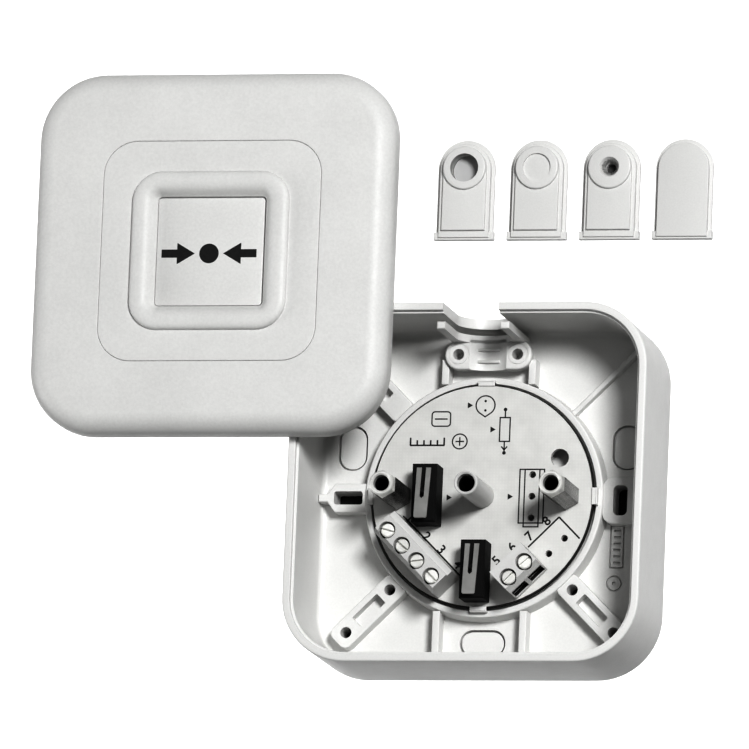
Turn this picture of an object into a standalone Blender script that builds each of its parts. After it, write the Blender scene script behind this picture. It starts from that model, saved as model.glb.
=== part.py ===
"""Surface-mounted manual call point, opened for wiring: a square base box on its back, its cover
set aside against one corner of the box, and four loose cable-entry inserts.

The frame: the origin is the centre of the box's back face, X to the right, Y towards the cable
entry, Z out of the open front. Numbers are millimetres; MM turns them into Blender's metres.
"""

from math import asin, cos, pi, radians, sin

import bmesh
import bpy
from mathutils import Matrix, Vector

MM = 0.001
GAP = 0.3  # left between pieces that touch
THROUGH = 1.0  # how far a cutter reaches past the face that it opens
CORNER_STEPS = 8
ROUND_SIDES = 24
SMALL_SIDES = 16

# Base box
BOX_SIDE = 84.0
BOX_DEPTH = 28.0
BOX_RADIUS = 15.0
WALL = 2.4
FLOOR = 2.5
INNER_SIDE = BOX_SIDE - 2 * WALL
INNER_RADIUS = BOX_RADIUS - WALL
LIP_WIDTH = 0.6
LIP_DEPTH = 0.8
RIB_WIDTH = 1.8
RIB_TOP = 6.9
RIB_X = 10.3
PAD_TOP = 6.4
ROOT = FLOOR - 0.2  # where everything moulded onto the floor starts
ABOVE_PADS = 9.0  # upper end of the tools that cut down through the pads
CORD_SLOT_LEFT = (6.8, 3.1, 0.6, (-32.4, 0.0))  # width, length, corner radius, centre
CORD_SLOT_RIGHT = (3.3, 7.1, 1.2, (32.2, -0.6))
RIGHT_BOSS = (12.6, 11.0, 2.4, (34.0, -0.6))
KNOCK_OUT_DEPTH = 1.0
KNOCK_OUTS = (
    (6.9, 10.6, 3.2, (-32.6, 12.4)), (6.9, 10.6, 3.2, (32.6, 12.4)), (10.8, 6.4, 3.1, (0.0, -33.6)),
)

# Round circuit board in its ring
BOARD_RADIUS = 26.0
BOARD_THICK = 1.6
BOARD_TOP = 8.4
BOARD_BOTTOM = BOARD_TOP - BOARD_THICK
RING_INNER = BOARD_RADIUS + 0.7
RING_OUTER = 28.2
RING_FOOT = 28.7
RING_TOP = 7.0
RING_LAP = 1.6  # how far the ribs run into the ring
RING_LEDGE = 24.6
RING_GROOVE_INNER = 25.6
RING_GROOVE_LOW = 4.0
LUG_WIDTH = 4.0
LUG_REACH = 25.5
LUG_TOP = 9.2
ON_BOARD = BOARD_TOP + GAP
PIN_RADIUS = 0.5
PIN_HOLE = 0.8
PIN_BOTTOM = 5.0
LAMP_HOLE = (18.0, 9.0)
LAMP_HOLE_RADIUS = 2.15

# Cable entry in the upper wall
ENTRY_WIDTH = 13.2
ENTRY_BOTTOM = 6.5
ENTRY_AXIS_Z = ENTRY_BOTTOM + ENTRY_WIDTH / 2
SADDLE_WIDTH = 20.6
SADDLE_LENGTH = 7.2
SADDLE_Y = 33.5
SADDLE_TOP = 8.2
SADDLE_HOLE_X = 7.0
SADDLE_HOLE_RADIUS = 1.3
GUIDE_WIDTH = 17.2
GUIDE_TOP = 25.0
GUIDE_THICK = 1.8
INSERT_SLOT = 1.5

# Fixing bars along the diagonals
BAR_WIDTH = 6.0
DIAGONAL_RIB_WIDTH = 1.2
DIAGONAL_RIB_TOP = 4.9
BAR_START = 27.4
BAR_END = 48.0
# direction of each fixing bar, and how far out its screw holes are
BARS = ((-135.0, (30.6, 44.8)), (-45.0, (30.6, 44.8)), (135.0, (44.8,)))
BAR_HOLE_RADIUS = 1.3
WINDOW_START = 33.4
WINDOW_END = 41.4
WINDOW_WIDTH = 3.0
WINDOW_LOW = FLOOR + 0.8

# Posts on the board
POST_SPACING = 20.0
POST_TOP = 26.4
HEX_ACROSS = 5.7
HEX_BORE = 1.85
TUBE_RADIUS = 2.8
TUBE_BORE = 2.1
POST_SCREW_RADIUS = 1.4
POST_SCREW_HEAD = 2.7
POST_SCREW_TIP = 14.5

# Ultra-subminiature lever switches
SWITCH_PLACES = ((-12.4, -0.8), (-0.3, -18.6))
SWITCH_WIDTH = 5.8
SWITCH_LENGTH = 12.8
SWITCH_NOSE = 0.9  # how much further the case goes on at the hinge end
SWITCH_HEIGHT = 6.5
SWITCH_TOP = ON_BOARD + SWITCH_HEIGHT
SWITCH_PIN_PITCH = 5.08
LEVER_LENGTH = 12.0
LEVER_WIDTH = 3.4
LEVER_TIP_WIDTH = 3.1
LEVER_THICK = 0.35
LEVER_RISE = 2.4
LEVER_PIVOT_Y = 5.8
LEVER_PIVOT_Z = SWITCH_TOP + 0.6
LEVER_SLOT_WIDTH = 1.0
LEVER_SLOT_LENGTH = 7.0
PLUNGER_ARM = 5.0
PLUNGER_RADIUS = 0.8

# Terminal blocks, 5.08 mm pitch
POLE_PITCH = 5.08
ROW_DISTANCE = 21.0
BLOCK_INNER = 16.7
BLOCK_OUTER = 23.6
BLOCK_TOP = 18.4
BLOCK_STEP = 1.5
BLOCK_STEP_DROP = 1.2
BLOCK_CHAMFER = 1.0
BLOCK_CHAMFER_DROP = 2.2
BLOCK_END_INSET = 0.15
CHAMBER_WIDTH = 4.1
CHAMBER_LOW = 10.0
CHAMBER_HIGH = 15.6
CHAMBER_BACK = 18.9
SCREW_WELL_RADIUS = 2.0
TERMINAL_SCREW_HEAD = 1.6
TERMINAL_SCREW_TOP = 17.9
TERMINAL_SCREW_SEAT = 16.2
TERMINAL_SCREW_SHANK = 1.1
TERMINAL_SCREW_TIP = 12.4
SCREW_SLOT_WIDTH = 0.5
SCREW_SLOT_DEPTH = 0.8
CAGE_WIDTH = 3.5
CAGE_LOW = 10.3
CAGE_HIGH = 13.3
CAGE_WALL = 0.5
CAGE_DEPTH = 3.1
# name, turn of the row about Z, middle of the row along itself, poles, screw slot angles
TERMINAL_BLOCKS = (
    ("terminal_4way", -45.0, 0.3, (-1.5, -0.5, 0.5, 1.5), (30.0, 5.0, 52.0, 0.0)),
    ("terminal_2way", 45.0, -0.6, (-1.5, -0.5), (2.0, -4.0)),
)
SPARE_POLES = (0.5, 1.5)

# Cover, set aside: its own frame has Z = 0 at its rear edge
COVER_SIDE = 85.0
COVER_RADIUS = 15.5
COVER_HEIGHT = 8.0
COVER_SHOULDER = 4.75
COVER_WALL = 2.2
COVER_REAR = BOX_DEPTH + GAP
COVER_PLACE = Vector((-60.6, 52.8))
SHOULDER_STEPS = 6
WELL_SIDE = 51.9
WELL_RADIUS = 8.0
WELL_WALL = 1.6
WELL_FLOOR = 1.2
PLATE_SIDE = WELL_SIDE - 2 * GAP
PLATE_THICK = 1.6
PLATE_LOW = COVER_HEIGHT - PLATE_THICK
BEAD_SIDE = 37.4
BEAD_RADIUS = 7.0
BEAD_RISE = 1.5
OPENING_SIDE = 25.6
OPENING_RADIUS = 0.9
COLLAR_INNER = 27.8
COLLAR_OUTER = 30.2
COLLAR_LOW = 2.9
BUTTON_CAP = OPENING_SIDE - 2 * GAP
BUTTON_FLANGE = COLLAR_INNER - 2 * GAP
BUTTON_TOP = 6.9
BUTTON_STEP = PLATE_LOW - GAP
BUTTON_LOW = BUTTON_STEP - 1.0
STEM_RADIUS = 1.7
STEM_HOLE = 2.2
STEM_LOW = 0.1
SPRING_RADIUS = 3.6
SPRING_WIRE = 0.2
SPRING_TURNS = 3.0
COVER_SCREW_RADIUS = 1.45
COVER_SCREW_HEAD = 2.75
COVER_SCREW_HEAD_HEIGHT = 1.5
COVER_SCREW_TIP = 0.1
COVER_SCREW_SEAT = 4.6

# Cable-entry inserts, lying on the surface beside the box
INSERT_COUNT = 4
INSERT_FIRST_X = -8.4
INSERT_PITCH = 17.3
INSERT_MIDDLE_Y = 73.7
INSERT_WIDTH = 14.2
INSERT_HEIGHT = 23.8
INSERT_FLANGE = 1.2
NECK_WIDTH = 12.8
NECK_TOP = 2.6
PAD_WIDTH = 10.3
INSERT_PAD_TOP = 3.4
FOOT_HEIGHT = 1.7
COLLAR_RADIUS = 5.1
COLLAR_TOP = 4.2
COLLAR_DROP = 7.0
LARGE_BORE = 3.35
SMALL_BORE = 1.2
FUNNEL_RADIUS = 2.4

# Colours, linear RGB
WHITE_PLASTIC = (0.66, 0.66, 0.655)
BOARD_GREY = (0.56, 0.56, 0.55)
TERMINAL_GREY = (0.50, 0.50, 0.49)
BLACK_PLASTIC = (0.012, 0.012, 0.012)
LEVER_STEEL = (0.28, 0.28, 0.28)
NICKEL = (0.62, 0.61, 0.59)
ZINC = (0.72, 0.72, 0.70)
TIN = (0.55, 0.55, 0.54)
IVORY_TUBE = (0.62, 0.61, 0.58)


def clear_scene():
    for item in list(bpy.data.objects):
        bpy.data.objects.remove(item, do_unlink=True)


# Outlines: lists of (x, y), counter-clockwise


def rounded(width, height, radius, centre=(0.0, 0.0), steps=CORNER_STEPS):
    """A rectangle with round corners."""
    points = []
    for quarter, (sx, sy) in enumerate(((1, 1), (-1, 1), (-1, -1), (1, -1))):
        cx = centre[0] + sx * (width / 2 - radius)
        cy = centre[1] + sy * (height / 2 - radius)
        for step in range(steps + 1):
            turn = (quarter + step / steps) * pi / 2
            points.append((cx + radius * cos(turn), cy + radius * sin(turn)))
    return points


def box(low, high):
    return [(low[0], low[1]), (high[0], low[1]), (high[0], high[1]), (low[0], high[1])]


def circle(radius, centre=(0.0, 0.0), sides=ROUND_SIDES):
    turns = (2 * pi * side / sides for side in range(sides))
    return [(centre[0] + radius * cos(turn), centre[1] + radius * sin(turn)) for turn in turns]


def hexagon(across, sides=ROUND_SIDES):
    """A hexagon's outline with a point every few degrees, so that it bridges to a circle."""
    points = []
    for side in range(sides):
        turn = 2 * pi * side / sides
        from_flat = (turn + pi / 6) % (pi / 3) - pi / 6
        reach = across / 2 / cos(from_flat)
        points.append((reach * cos(turn), reach * sin(turn)))
    return points


def arch(width, low, high, steps=SMALL_SIDES):
    """A plate with a half-round upper end."""
    radius = width / 2
    points = [(-radius, low), (radius, low)]
    for step in range(steps + 1):
        turn = pi * step / steps
        points.append((radius * cos(turn), high - radius + radius * sin(turn)))
    return points


def turned(points, degrees):
    turn = radians(degrees)
    return [(x * cos(turn) - y * sin(turn), x * sin(turn) + y * cos(turn)) for x, y in points]


def moved(points, offset):
    return [(x + offset[0], y + offset[1]) for x, y in points]


# Solids


def bridge(bm, first, second):
    count = len(first)
    for index in range(count):
        after = (index + 1) % count
        bm.faces.new((first[index], first[after], second[after], second[index]))


def loops_into(bm, loops):
    return [[bm.verts.new((x * MM, y * MM, z * MM)) for x, y in outline] for outline, z in loops]


def add_stack(bm, loops):
    """A solid through outlines of equal length, given from the lowest up: (outline, z)."""
    rows = loops_into(bm, loops)
    bm.faces.new(reversed(rows[0]))
    for lower, upper in zip(rows, rows[1:]):
        bridge(bm, lower, upper)
    bm.faces.new(rows[-1])


def add_frame(bm, loops):
    """A solid with a way through it: the outlines run up the outside, then down the inside."""
    rows = loops_into(bm, loops)
    for index, row in enumerate(rows):
        bridge(bm, row, rows[(index + 1) % len(rows)])


def finish(name, bm, smooth_below=None):
    bmesh.ops.recalc_face_normals(bm, faces=bm.faces)
    mesh = bpy.data.meshes.new(name)
    bm.to_mesh(mesh)
    bm.free()
    if smooth_below:
        mesh.shade_smooth()
        mesh.set_sharp_from_angle(angle=radians(smooth_below))
    item = bpy.data.objects.new(name, mesh)
    bpy.context.scene.collection.objects.link(item)
    return item


def stack(name, loops, smooth_below=35.0):
    bm = bmesh.new()
    add_stack(bm, loops)
    return finish(name, bm, smooth_below)


def frame(name, loops, smooth_below=35.0):
    bm = bmesh.new()
    add_frame(bm, loops)
    return finish(name, bm, smooth_below)


def prisms(name, shapes):
    """Several separate prisms in one object, for cutting: (outline, low, high)."""
    bm = bmesh.new()
    for outline, low, high in shapes:
        add_stack(bm, ((outline, low), (outline, high)))
    return finish(name, bm, 35.0)


def prism(name, outline, low, high):
    return prisms(name, [(outline, low, high)])


def turn_mesh(item, matrix):
    item.data.transform(matrix)
    return item


def as_tool(item):
    item.hide_render = True
    item.display_type = "WIRE"
    return item


def combine(target, tool, operation):
    step = target.modifiers.new(tool.name, "BOOLEAN")
    step.operation = operation
    step.solver = "EXACT"
    step.object = as_tool(tool)
    tool.parent = target


def cut(target, tool):
    combine(target, tool, "DIFFERENCE")


def add(target, tool):
    combine(target, tool, "UNION")


def material(name, colour, roughness, metallic=0.0):
    made = bpy.data.materials.new(name)
    made.use_nodes = True
    shader = made.node_tree.nodes["Principled BSDF"]
    shader.inputs["Base Color"].default_value = (*colour, 1.0)
    shader.inputs["Roughness"].default_value = roughness
    shader.inputs["Metallic"].default_value = metallic
    return made


def dress(item, made):
    item.data.materials.clear()
    item.data.materials.append(made)
    return item


# Base box


def bar_outline(start, end, width, degrees):
    """A bar along a diagonal, from start to end outwards, with a round outer end."""
    length = end - start
    middle = (start + end) / 2
    return turned(rounded(length, width, width * 0.3, (middle, 0.0), 3), degrees)


def add_cable_saddle(base):
    """The cable's bed behind the entry, with a trough, two ridges and the clamp's screw holes.

    Two guides rise beside the entry and hold an insert's flange against the wall.
    """
    guide_high = INNER_SIDE / 2 - INSERT_SLOT
    guide_low = guide_high - GUIDE_THICK
    half = GUIDE_WIDTH / 2
    guides = prism("add_guides", box((-half, guide_low), (half, guide_high)), FLOOR - 0.2, GUIDE_TOP)
    plate = rounded(SADDLE_WIDTH, SADDLE_LENGTH, SADDLE_LENGTH / 2 - 0.1, (0, SADDLE_Y))
    saddle = prism("add_saddle", plate, FLOOR - 0.2, SADDLE_TOP)
    add(saddle, guides)
    add(base, saddle)
    cut(base, entry_cutter())
    for index, y in enumerate((SADDLE_Y - 1.6, SADDLE_Y + 1.2)):
        ridge = box((-2.6, y - 0.3), (2.6, y + 0.3))
        add(base, prism(f"add_ridge_{index}", ridge, ENTRY_BOTTOM - 1.0, ENTRY_BOTTOM + 0.9))
    holes = [
        (circle(SADDLE_HOLE_RADIUS, (sign * SADDLE_HOLE_X, SADDLE_Y), SMALL_SIDES), 3.5, 12.0)
        for sign in (-1, 1)
    ]
    cut(base, prisms("cut_saddle_holes", holes))


def entry_cutter():
    """A round-bottomed slot through the wall, the guides and the saddle, open at the rim."""
    slot = sorted((x, y) for x, y in circle(ENTRY_WIDTH / 2, sides=32) if y < 1e-6)
    rise = BOX_DEPTH - ENTRY_AXIS_Z + THROUGH
    slot += [(ENTRY_WIDTH / 2, rise), (-ENTRY_WIDTH / 2, rise)]
    length = BOX_SIDE / 2 + THROUGH - (SADDLE_Y - SADDLE_LENGTH / 2 - THROUGH)
    tool = prism("cut_entry", slot, 0.0, length)
    upright = Matrix.Rotation(radians(90.0), 4, "X")
    return turn_mesh(
        tool, Matrix.Translation((0, (BOX_SIDE / 2 + THROUGH) * MM, ENTRY_AXIS_Z * MM)) @ upright
    )


def ring_loops():
    profile = (
        (RING_FOOT, FLOOR - 0.2),
        (RING_OUTER, RING_TOP - 0.4),
        (RING_OUTER - 0.4, RING_TOP),
        (RING_INNER, RING_TOP),
        (RING_INNER, RING_GROOVE_LOW),
        (RING_GROOVE_INNER, RING_GROOVE_LOW),
        (RING_GROOVE_INNER, BOARD_BOTTOM - GAP),
        (RING_LEDGE, BOARD_BOTTOM - GAP),
        (RING_LEDGE, FLOOR - 0.2),
    )
    return [(circle(radius, sides=64), z) for radius, z in profile]


def floor_cutters():
    """Slots and holes through the back, and the windows in the fixing bars."""
    shapes = [
        (rounded(*slot), -THROUGH, ABOVE_PADS)
        for slot in (CORD_SLOT_LEFT, CORD_SLOT_RIGHT)
    ]
    for degrees, reaches in BARS:
        window = box((WINDOW_START, -WINDOW_WIDTH / 2), (WINDOW_END, WINDOW_WIDTH / 2))
        shapes.append((turned(window, degrees), WINDOW_LOW, ABOVE_PADS))
        for reach in reaches:
            hole = moved(circle(BAR_HOLE_RADIUS, sides=SMALL_SIDES), (reach, 0.0))
            shapes.append((turned(hole, degrees), -THROUGH, ABOVE_PADS))
    return prisms("cut_floor", shapes)


def knock_outs():
    """Shallow pockets whose floors can be broken out for a cable."""
    return prisms(
        "cut_knock_outs",
        [
            (rounded(*pocket), FLOOR - KNOCK_OUT_DEPTH, FLOOR + THROUGH)
            for pocket in KNOCK_OUTS
        ],
    )


def left_bracket():
    """A six-sided pad with a nose towards the wall, around the left slot."""
    return [
        (-39.4, -0.9), (-37.4, -0.9), (-35.6, -3.4), (-27.6, -3.4),
        (-27.6, 3.4), (-35.6, 3.4), (-37.4, 0.9), (-39.4, 0.9),
    ]


def add_ribs(base):
    """Two ribs below the ring and two above it, and a low one out to the upper right corner."""
    wall = INNER_SIDE / 2 + 0.5
    ring_edge = RING_OUTER - RING_LAP
    for index, side in enumerate((-1, 1)):
        low, high = sorted((side * RIB_X - RIB_WIDTH / 2, side * RIB_X + RIB_WIDTH / 2))
        lower = box((low, -wall), (high, -ring_edge))
        upper = box((low, ring_edge), (high, SADDLE_Y - 2.0))
        add(base, prism(f"add_rib_low_{index}", lower, ROOT, RIB_TOP))
        add(base, prism(f"add_rib_high_{index}", upper, ROOT, RIB_TOP))
    rib = bar_outline(BAR_START, BAR_END + 2.0, DIAGONAL_RIB_WIDTH, 45.0)
    add(base, prism("add_diagonal_rib", rib, ROOT, DIAGONAL_RIB_TOP))


def add_lugs(base):
    """Four hooks that rise from the ring and hold the board's edge down."""
    half = LUG_WIDTH / 2
    heel = box((RING_INNER, -half), (RING_OUTER - 0.4, half))
    nose = box((LUG_REACH, -half), (RING_INNER + 0.4, half))
    for index, degrees in enumerate((0.0, 90.0, 180.0, 270.0)):
        add(base, prism(f"add_heel_{index}", turned(heel, degrees), RING_TOP - 0.3, LUG_TOP))
        add(base, prism(f"add_nose_{index}", turned(nose, degrees), BOARD_TOP + GAP, LUG_TOP))


def make_base_box(plastic):
    outline = rounded(BOX_SIDE, BOX_SIDE, BOX_RADIUS)
    edge = rounded(BOX_SIDE - 1.2, BOX_SIDE - 1.2, BOX_RADIUS - 0.6)
    base = stack("base_box", ((edge, 0.0), (outline, 0.6), (outline, BOX_DEPTH)))
    inside = rounded(INNER_SIDE, INNER_SIDE, INNER_RADIUS)
    lip = rounded(INNER_SIDE + 2 * LIP_WIDTH, INNER_SIDE + 2 * LIP_WIDTH, INNER_RADIUS + LIP_WIDTH)
    ledge = BOX_DEPTH - LIP_DEPTH
    room = ((inside, FLOOR), (inside, ledge), (lip, ledge), (lip, BOX_DEPTH + THROUGH))
    cut(base, stack("cut_room", room))
    cut(base, knock_outs())
    add(base, frame("add_ring", ring_loops()))
    add_ribs(base)
    for index, (degrees, _) in enumerate(BARS):
        bar = bar_outline(BAR_START, BAR_END, BAR_WIDTH, degrees)
        add(base, prism(f"add_bar_{index}", bar, ROOT, PAD_TOP))
    add(base, prism("add_left_bracket", left_bracket(), ROOT, PAD_TOP))
    add(base, prism("add_right_boss", rounded(*RIGHT_BOSS), ROOT, PAD_TOP))
    add_lugs(base)
    add_cable_saddle(base)
    cut(base, floor_cutters())
    return dress(base, plastic)


# Board and posts


def pole_places(turn, middle, poles):
    """The centres of a terminal row's poles; the row lies beyond the board's centre."""
    along = Vector((cos(radians(turn)), sin(radians(turn))))
    outward = Vector((along.y, -along.x))
    return [outward * ROW_DISTANCE + along * (middle + pole * POLE_PITCH) for pole in poles]


def make_board(made):
    board = prism("circuit_board", circle(BOARD_RADIUS, sides=64), BOARD_BOTTOM, BOARD_TOP)
    low, high = BOARD_BOTTOM - THROUGH, BOARD_TOP + THROUGH
    holes = []
    for x in (-POST_SPACING, 0.0, POST_SPACING):
        holes.append((circle(POST_SCREW_RADIUS + GAP, (x, 0.0), SMALL_SIDES), low, high))
    holes.append((circle(LAMP_HOLE_RADIUS, LAMP_HOLE, SMALL_SIDES), low, high))
    for place in (*SWITCH_PLACES, (11.7, 0.0)):
        for pin in (-1, 0, 1):
            centre = (place[0], place[1] + pin * SWITCH_PIN_PITCH)
            holes.append((circle(PIN_HOLE, centre, 12), low, high))
    for _, turn, middle, poles, _ in TERMINAL_BLOCKS:
        for place in pole_places(turn, middle, poles):
            holes.append((circle(PIN_HOLE, place, 12), low, high))
    _, turn, middle, _, _ = TERMINAL_BLOCKS[1]
    for place in pole_places(turn, middle, SPARE_POLES):
        holes.append((circle(PIN_HOLE, place, 12), low, high))
    cut(board, prisms("cut_board_holes", holes))
    return dress(board, made)


def make_posts(nickel, ivory, zinc):
    hexagon_outline, bore = hexagon(HEX_ACROSS), circle(HEX_BORE)
    tube, tube_bore = circle(TUBE_RADIUS), circle(TUBE_BORE)
    shapes = (
        ("hex_post_left", -POST_SPACING, hexagon_outline, bore, nickel),
        ("centre_tube", 0.0, tube, tube_bore, ivory),
        ("hex_post_right", POST_SPACING, hexagon_outline, bore, nickel),
    )
    for index, (name, x, outer, inner, made) in enumerate(shapes):
        loops = ((outer, ON_BOARD), (outer, POST_TOP), (inner, POST_TOP), (inner, ON_BOARD))
        post = dress(frame(name, loops), made)
        post.location = (x * MM, 0.0, 0.0)
        make_post_screw(f"post_screw_{index + 1}", x, zinc)


def make_post_screw(name, x, zinc):
    """A pan-head screw that holds a post from behind the board."""
    head_top = BOARD_BOTTOM - GAP
    head = circle(POST_SCREW_HEAD, sides=SMALL_SIDES)
    crown = circle(POST_SCREW_HEAD - 0.7, sides=SMALL_SIDES)
    shank = circle(POST_SCREW_RADIUS, sides=SMALL_SIDES)
    tip = circle(POST_SCREW_RADIUS - 0.3, sides=SMALL_SIDES)
    loops = (
        (crown, head_top - 1.8), (head, head_top - 1.2), (head, head_top),
        (shank, head_top), (shank, POST_SCREW_TIP - 0.4), (tip, POST_SCREW_TIP),
    )
    screw = dress(stack(name, loops), zinc)
    screw.location = (x * MM, 0.0, 0.0)
    across = prism(f"cut_{name}", box((-3.0, -0.35), (3.0, 0.35)), head_top - 3.0, head_top - 1.0)
    cut(screw, across)


# Switches


def make_switch(number, place, black, steel, tin, ivory):
    x, y = place
    half_width, half_length = SWITCH_WIDTH / 2, SWITCH_LENGTH / 2
    nose = half_length + SWITCH_NOSE
    outline = box((-half_width, -half_length), (half_width, nose))
    upper = box((-half_width + 0.4, -half_length + 0.4), (half_width - 0.4, nose - 0.4))
    loops = ((outline, ON_BOARD), (outline, SWITCH_TOP - 0.4), (upper, SWITCH_TOP))
    case = stack(f"switch_{number}_case", loops)
    plunger_y = LEVER_PIVOT_Y - PLUNGER_ARM
    well = circle(PLUNGER_RADIUS + 0.25, (0.0, plunger_y), SMALL_SIDES)
    cut(case, prism(f"cut_plunger_well_{number}", well, SWITCH_TOP - 3.2, SWITCH_TOP + THROUGH))
    case.location = (x * MM, y * MM, 0.0)
    dress(case, black)
    crown = PLUNGER_ARM * LEVER_RISE / LEVER_LENGTH + LEVER_PIVOT_Z - LEVER_THICK / 2 - GAP
    body = circle(PLUNGER_RADIUS, sides=SMALL_SIDES)
    tip = circle(PLUNGER_RADIUS - 0.3, sides=SMALL_SIDES)
    loops = ((body, SWITCH_TOP - 2.2), (body, crown - 0.3), (tip, crown))
    plunger = dress(stack(f"switch_{number}_plunger", loops), ivory)
    plunger.location = (x * MM, (y + plunger_y) * MM, 0.0)
    make_lever(number, x, y, steel)
    for pin in (-1, 0, 1):
        blade = circle(PIN_RADIUS, sides=8)
        name = f"switch_{number}_pin_{pin + 2}"
        leg = dress(stack(name, ((blade, PIN_BOTTOM), (blade, ON_BOARD - 0.15))), tin)
        leg.location = (x * MM, (y + pin * SWITCH_PIN_PITCH) * MM, 0.0)


def make_lever(number, x, y, steel):
    """A slotted strip hinged at the case's upper end; its free end stands up."""
    wide, narrow = LEVER_WIDTH / 2, LEVER_TIP_WIDTH / 2
    slot = LEVER_SLOT_WIDTH / 2
    outline = [
        (-wide, 0.4), (-narrow, -LEVER_LENGTH + 0.3), (-narrow + 0.3, -LEVER_LENGTH),
        (narrow - 0.3, -LEVER_LENGTH), (narrow, -LEVER_LENGTH + 0.3), (wide, 0.4),
        (slot, 0.4), (slot, -LEVER_SLOT_LENGTH + 0.3), (0.0, -LEVER_SLOT_LENGTH - 0.2),
        (-slot, -LEVER_SLOT_LENGTH + 0.3), (-slot, 0.4),
    ]
    lever = prism(f"switch_{number}_lever", outline, -LEVER_THICK / 2, LEVER_THICK / 2)
    lever.location = (x * MM, (y + LEVER_PIVOT_Y) * MM, LEVER_PIVOT_Z * MM)
    lever.rotation_euler = (-asin(LEVER_RISE / LEVER_LENGTH), 0.0, 0.0)
    dress(lever, steel)


# Terminals


def block_profile():
    """The housing's section: distance outwards from the board's centre against height."""
    return [
        (BLOCK_INNER, ON_BOARD), (BLOCK_OUTER, ON_BOARD),
        (BLOCK_OUTER, BLOCK_TOP - BLOCK_CHAMFER_DROP), (BLOCK_OUTER - BLOCK_CHAMFER, BLOCK_TOP),
        (BLOCK_INNER + BLOCK_STEP, BLOCK_TOP), (BLOCK_INNER + BLOCK_STEP, BLOCK_TOP - BLOCK_STEP_DROP),
        (BLOCK_INNER, BLOCK_TOP - BLOCK_STEP_DROP),
    ]


def along_row(item, turn):
    """Turns a piece made with -Y outwards and X along the row to the row's own direction."""
    return turn_mesh(item, Matrix.Rotation(radians(turn), 4, "Z"))


def make_housing(name, turn, middle, poles, plastic):
    low = middle + (min(poles) - 0.5) * POLE_PITCH + BLOCK_END_INSET
    high = middle + (max(poles) + 0.5) * POLE_PITCH - BLOCK_END_INSET
    bm = bmesh.new()
    ends = [
        [bm.verts.new((x * MM, -out * MM, z * MM)) for out, z in block_profile()]
        for x in (low, high)
    ]
    bm.faces.new(ends[0])
    bm.faces.new(reversed(ends[1]))
    bridge(bm, ends[0], ends[1])
    housing = finish(f"{name}_housing", bm)
    shapes = []
    wells = []
    for pole in poles:
        x = middle + pole * POLE_PITCH
        half = CHAMBER_WIDTH / 2
        chamber = box((x - half, -BLOCK_OUTER - THROUGH), (x + half, -CHAMBER_BACK))
        shapes.append((chamber, CHAMBER_LOW, CHAMBER_HIGH))
        well = circle(SCREW_WELL_RADIUS, (x, -ROW_DISTANCE))
        wells.append((well, CHAMBER_HIGH - 0.5, BLOCK_TOP + THROUGH))
        wells.append((circle(PIN_HOLE, (x, -ROW_DISTANCE), 12), ON_BOARD - THROUGH, CHAMBER_LOW + 0.5))
    cut(housing, along_row(prisms(f"cut_{name}_chambers", shapes), turn))
    cut(housing, along_row(prisms(f"cut_{name}_wells", wells), turn))
    along_row(housing, turn)
    return dress(housing, plastic)


def make_terminal_screw(number, place, turn, slot_angle, zinc):
    head = circle(TERMINAL_SCREW_HEAD)
    crown = circle(TERMINAL_SCREW_HEAD - 0.25)
    shank = circle(TERMINAL_SCREW_SHANK)
    loops = (
        (shank, TERMINAL_SCREW_TIP), (shank, TERMINAL_SCREW_SEAT), (head, TERMINAL_SCREW_SEAT),
        (head, TERMINAL_SCREW_TOP - 0.25), (crown, TERMINAL_SCREW_TOP),
    )
    screw = dress(stack(f"terminal_screw_{number}", loops), zinc)
    half = SCREW_SLOT_WIDTH / 2
    slot = box((-3.0, -half), (3.0, half))
    slot_low = TERMINAL_SCREW_TOP - SCREW_SLOT_DEPTH
    cut(screw, prism(f"cut_slot_{number}", slot, slot_low, TERMINAL_SCREW_TOP + THROUGH))
    screw.location = (place.x * MM, place.y * MM, 0.0)
    screw.rotation_euler = (0.0, 0.0, radians(turn + slot_angle))


def make_cage(number, place, turn, tin):
    """The rising box that clamps the wire, with a clear way along it for the wire."""
    half, depth = CAGE_WIDTH / 2, CAGE_DEPTH / 2
    cage = prism(f"clamp_cage_{number}", box((-half, -depth), (half, depth)), CAGE_LOW, CAGE_HIGH)
    inner = half - CAGE_WALL
    way = box((-inner, -depth - THROUGH), (inner, depth + THROUGH))
    cut(cage, prism(f"cut_way_{number}", way, CAGE_LOW + 0.5, CAGE_HIGH - 0.8))
    hole = circle(TERMINAL_SCREW_SHANK + 0.2, sides=SMALL_SIDES)
    cut(cage, prism(f"cut_cage_hole_{number}", hole, CAGE_HIGH - 1.2, CAGE_HIGH + THROUGH))
    cage.location = (place.x * MM, place.y * MM, 0.0)
    cage.rotation_euler = (0.0, 0.0, radians(turn))
    dress(cage, tin)


def make_terminals(plastic, zinc, tin):
    number = 0
    for name, turn, middle, poles, slot_angles in TERMINAL_BLOCKS:
        make_housing(name, turn, middle, poles, plastic)
        for place, slot_angle in zip(pole_places(turn, middle, poles), slot_angles):
            number += 1
            make_terminal_screw(number, place, turn, slot_angle, zinc)
            make_cage(number, place, turn, tin)
            pin = circle(PIN_RADIUS, sides=8)
            loops = ((pin, PIN_BOTTOM), (pin, CAGE_LOW - 0.2))
            leg = dress(stack(f"contact_pin_{number}", loops), tin)
            leg.location = (place.x * MM, place.y * MM, 0.0)


# Cover


def on_cover(item):
    """Moves a piece made in the cover's own frame to where the cover has been set aside."""
    item.location = (COVER_PLACE.x * MM, COVER_PLACE.y * MM, COVER_REAR * MM)
    return item


def cover_outline(inset):
    return rounded(COVER_SIDE - 2 * inset, COVER_SIDE - 2 * inset, COVER_RADIUS - inset)


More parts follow.
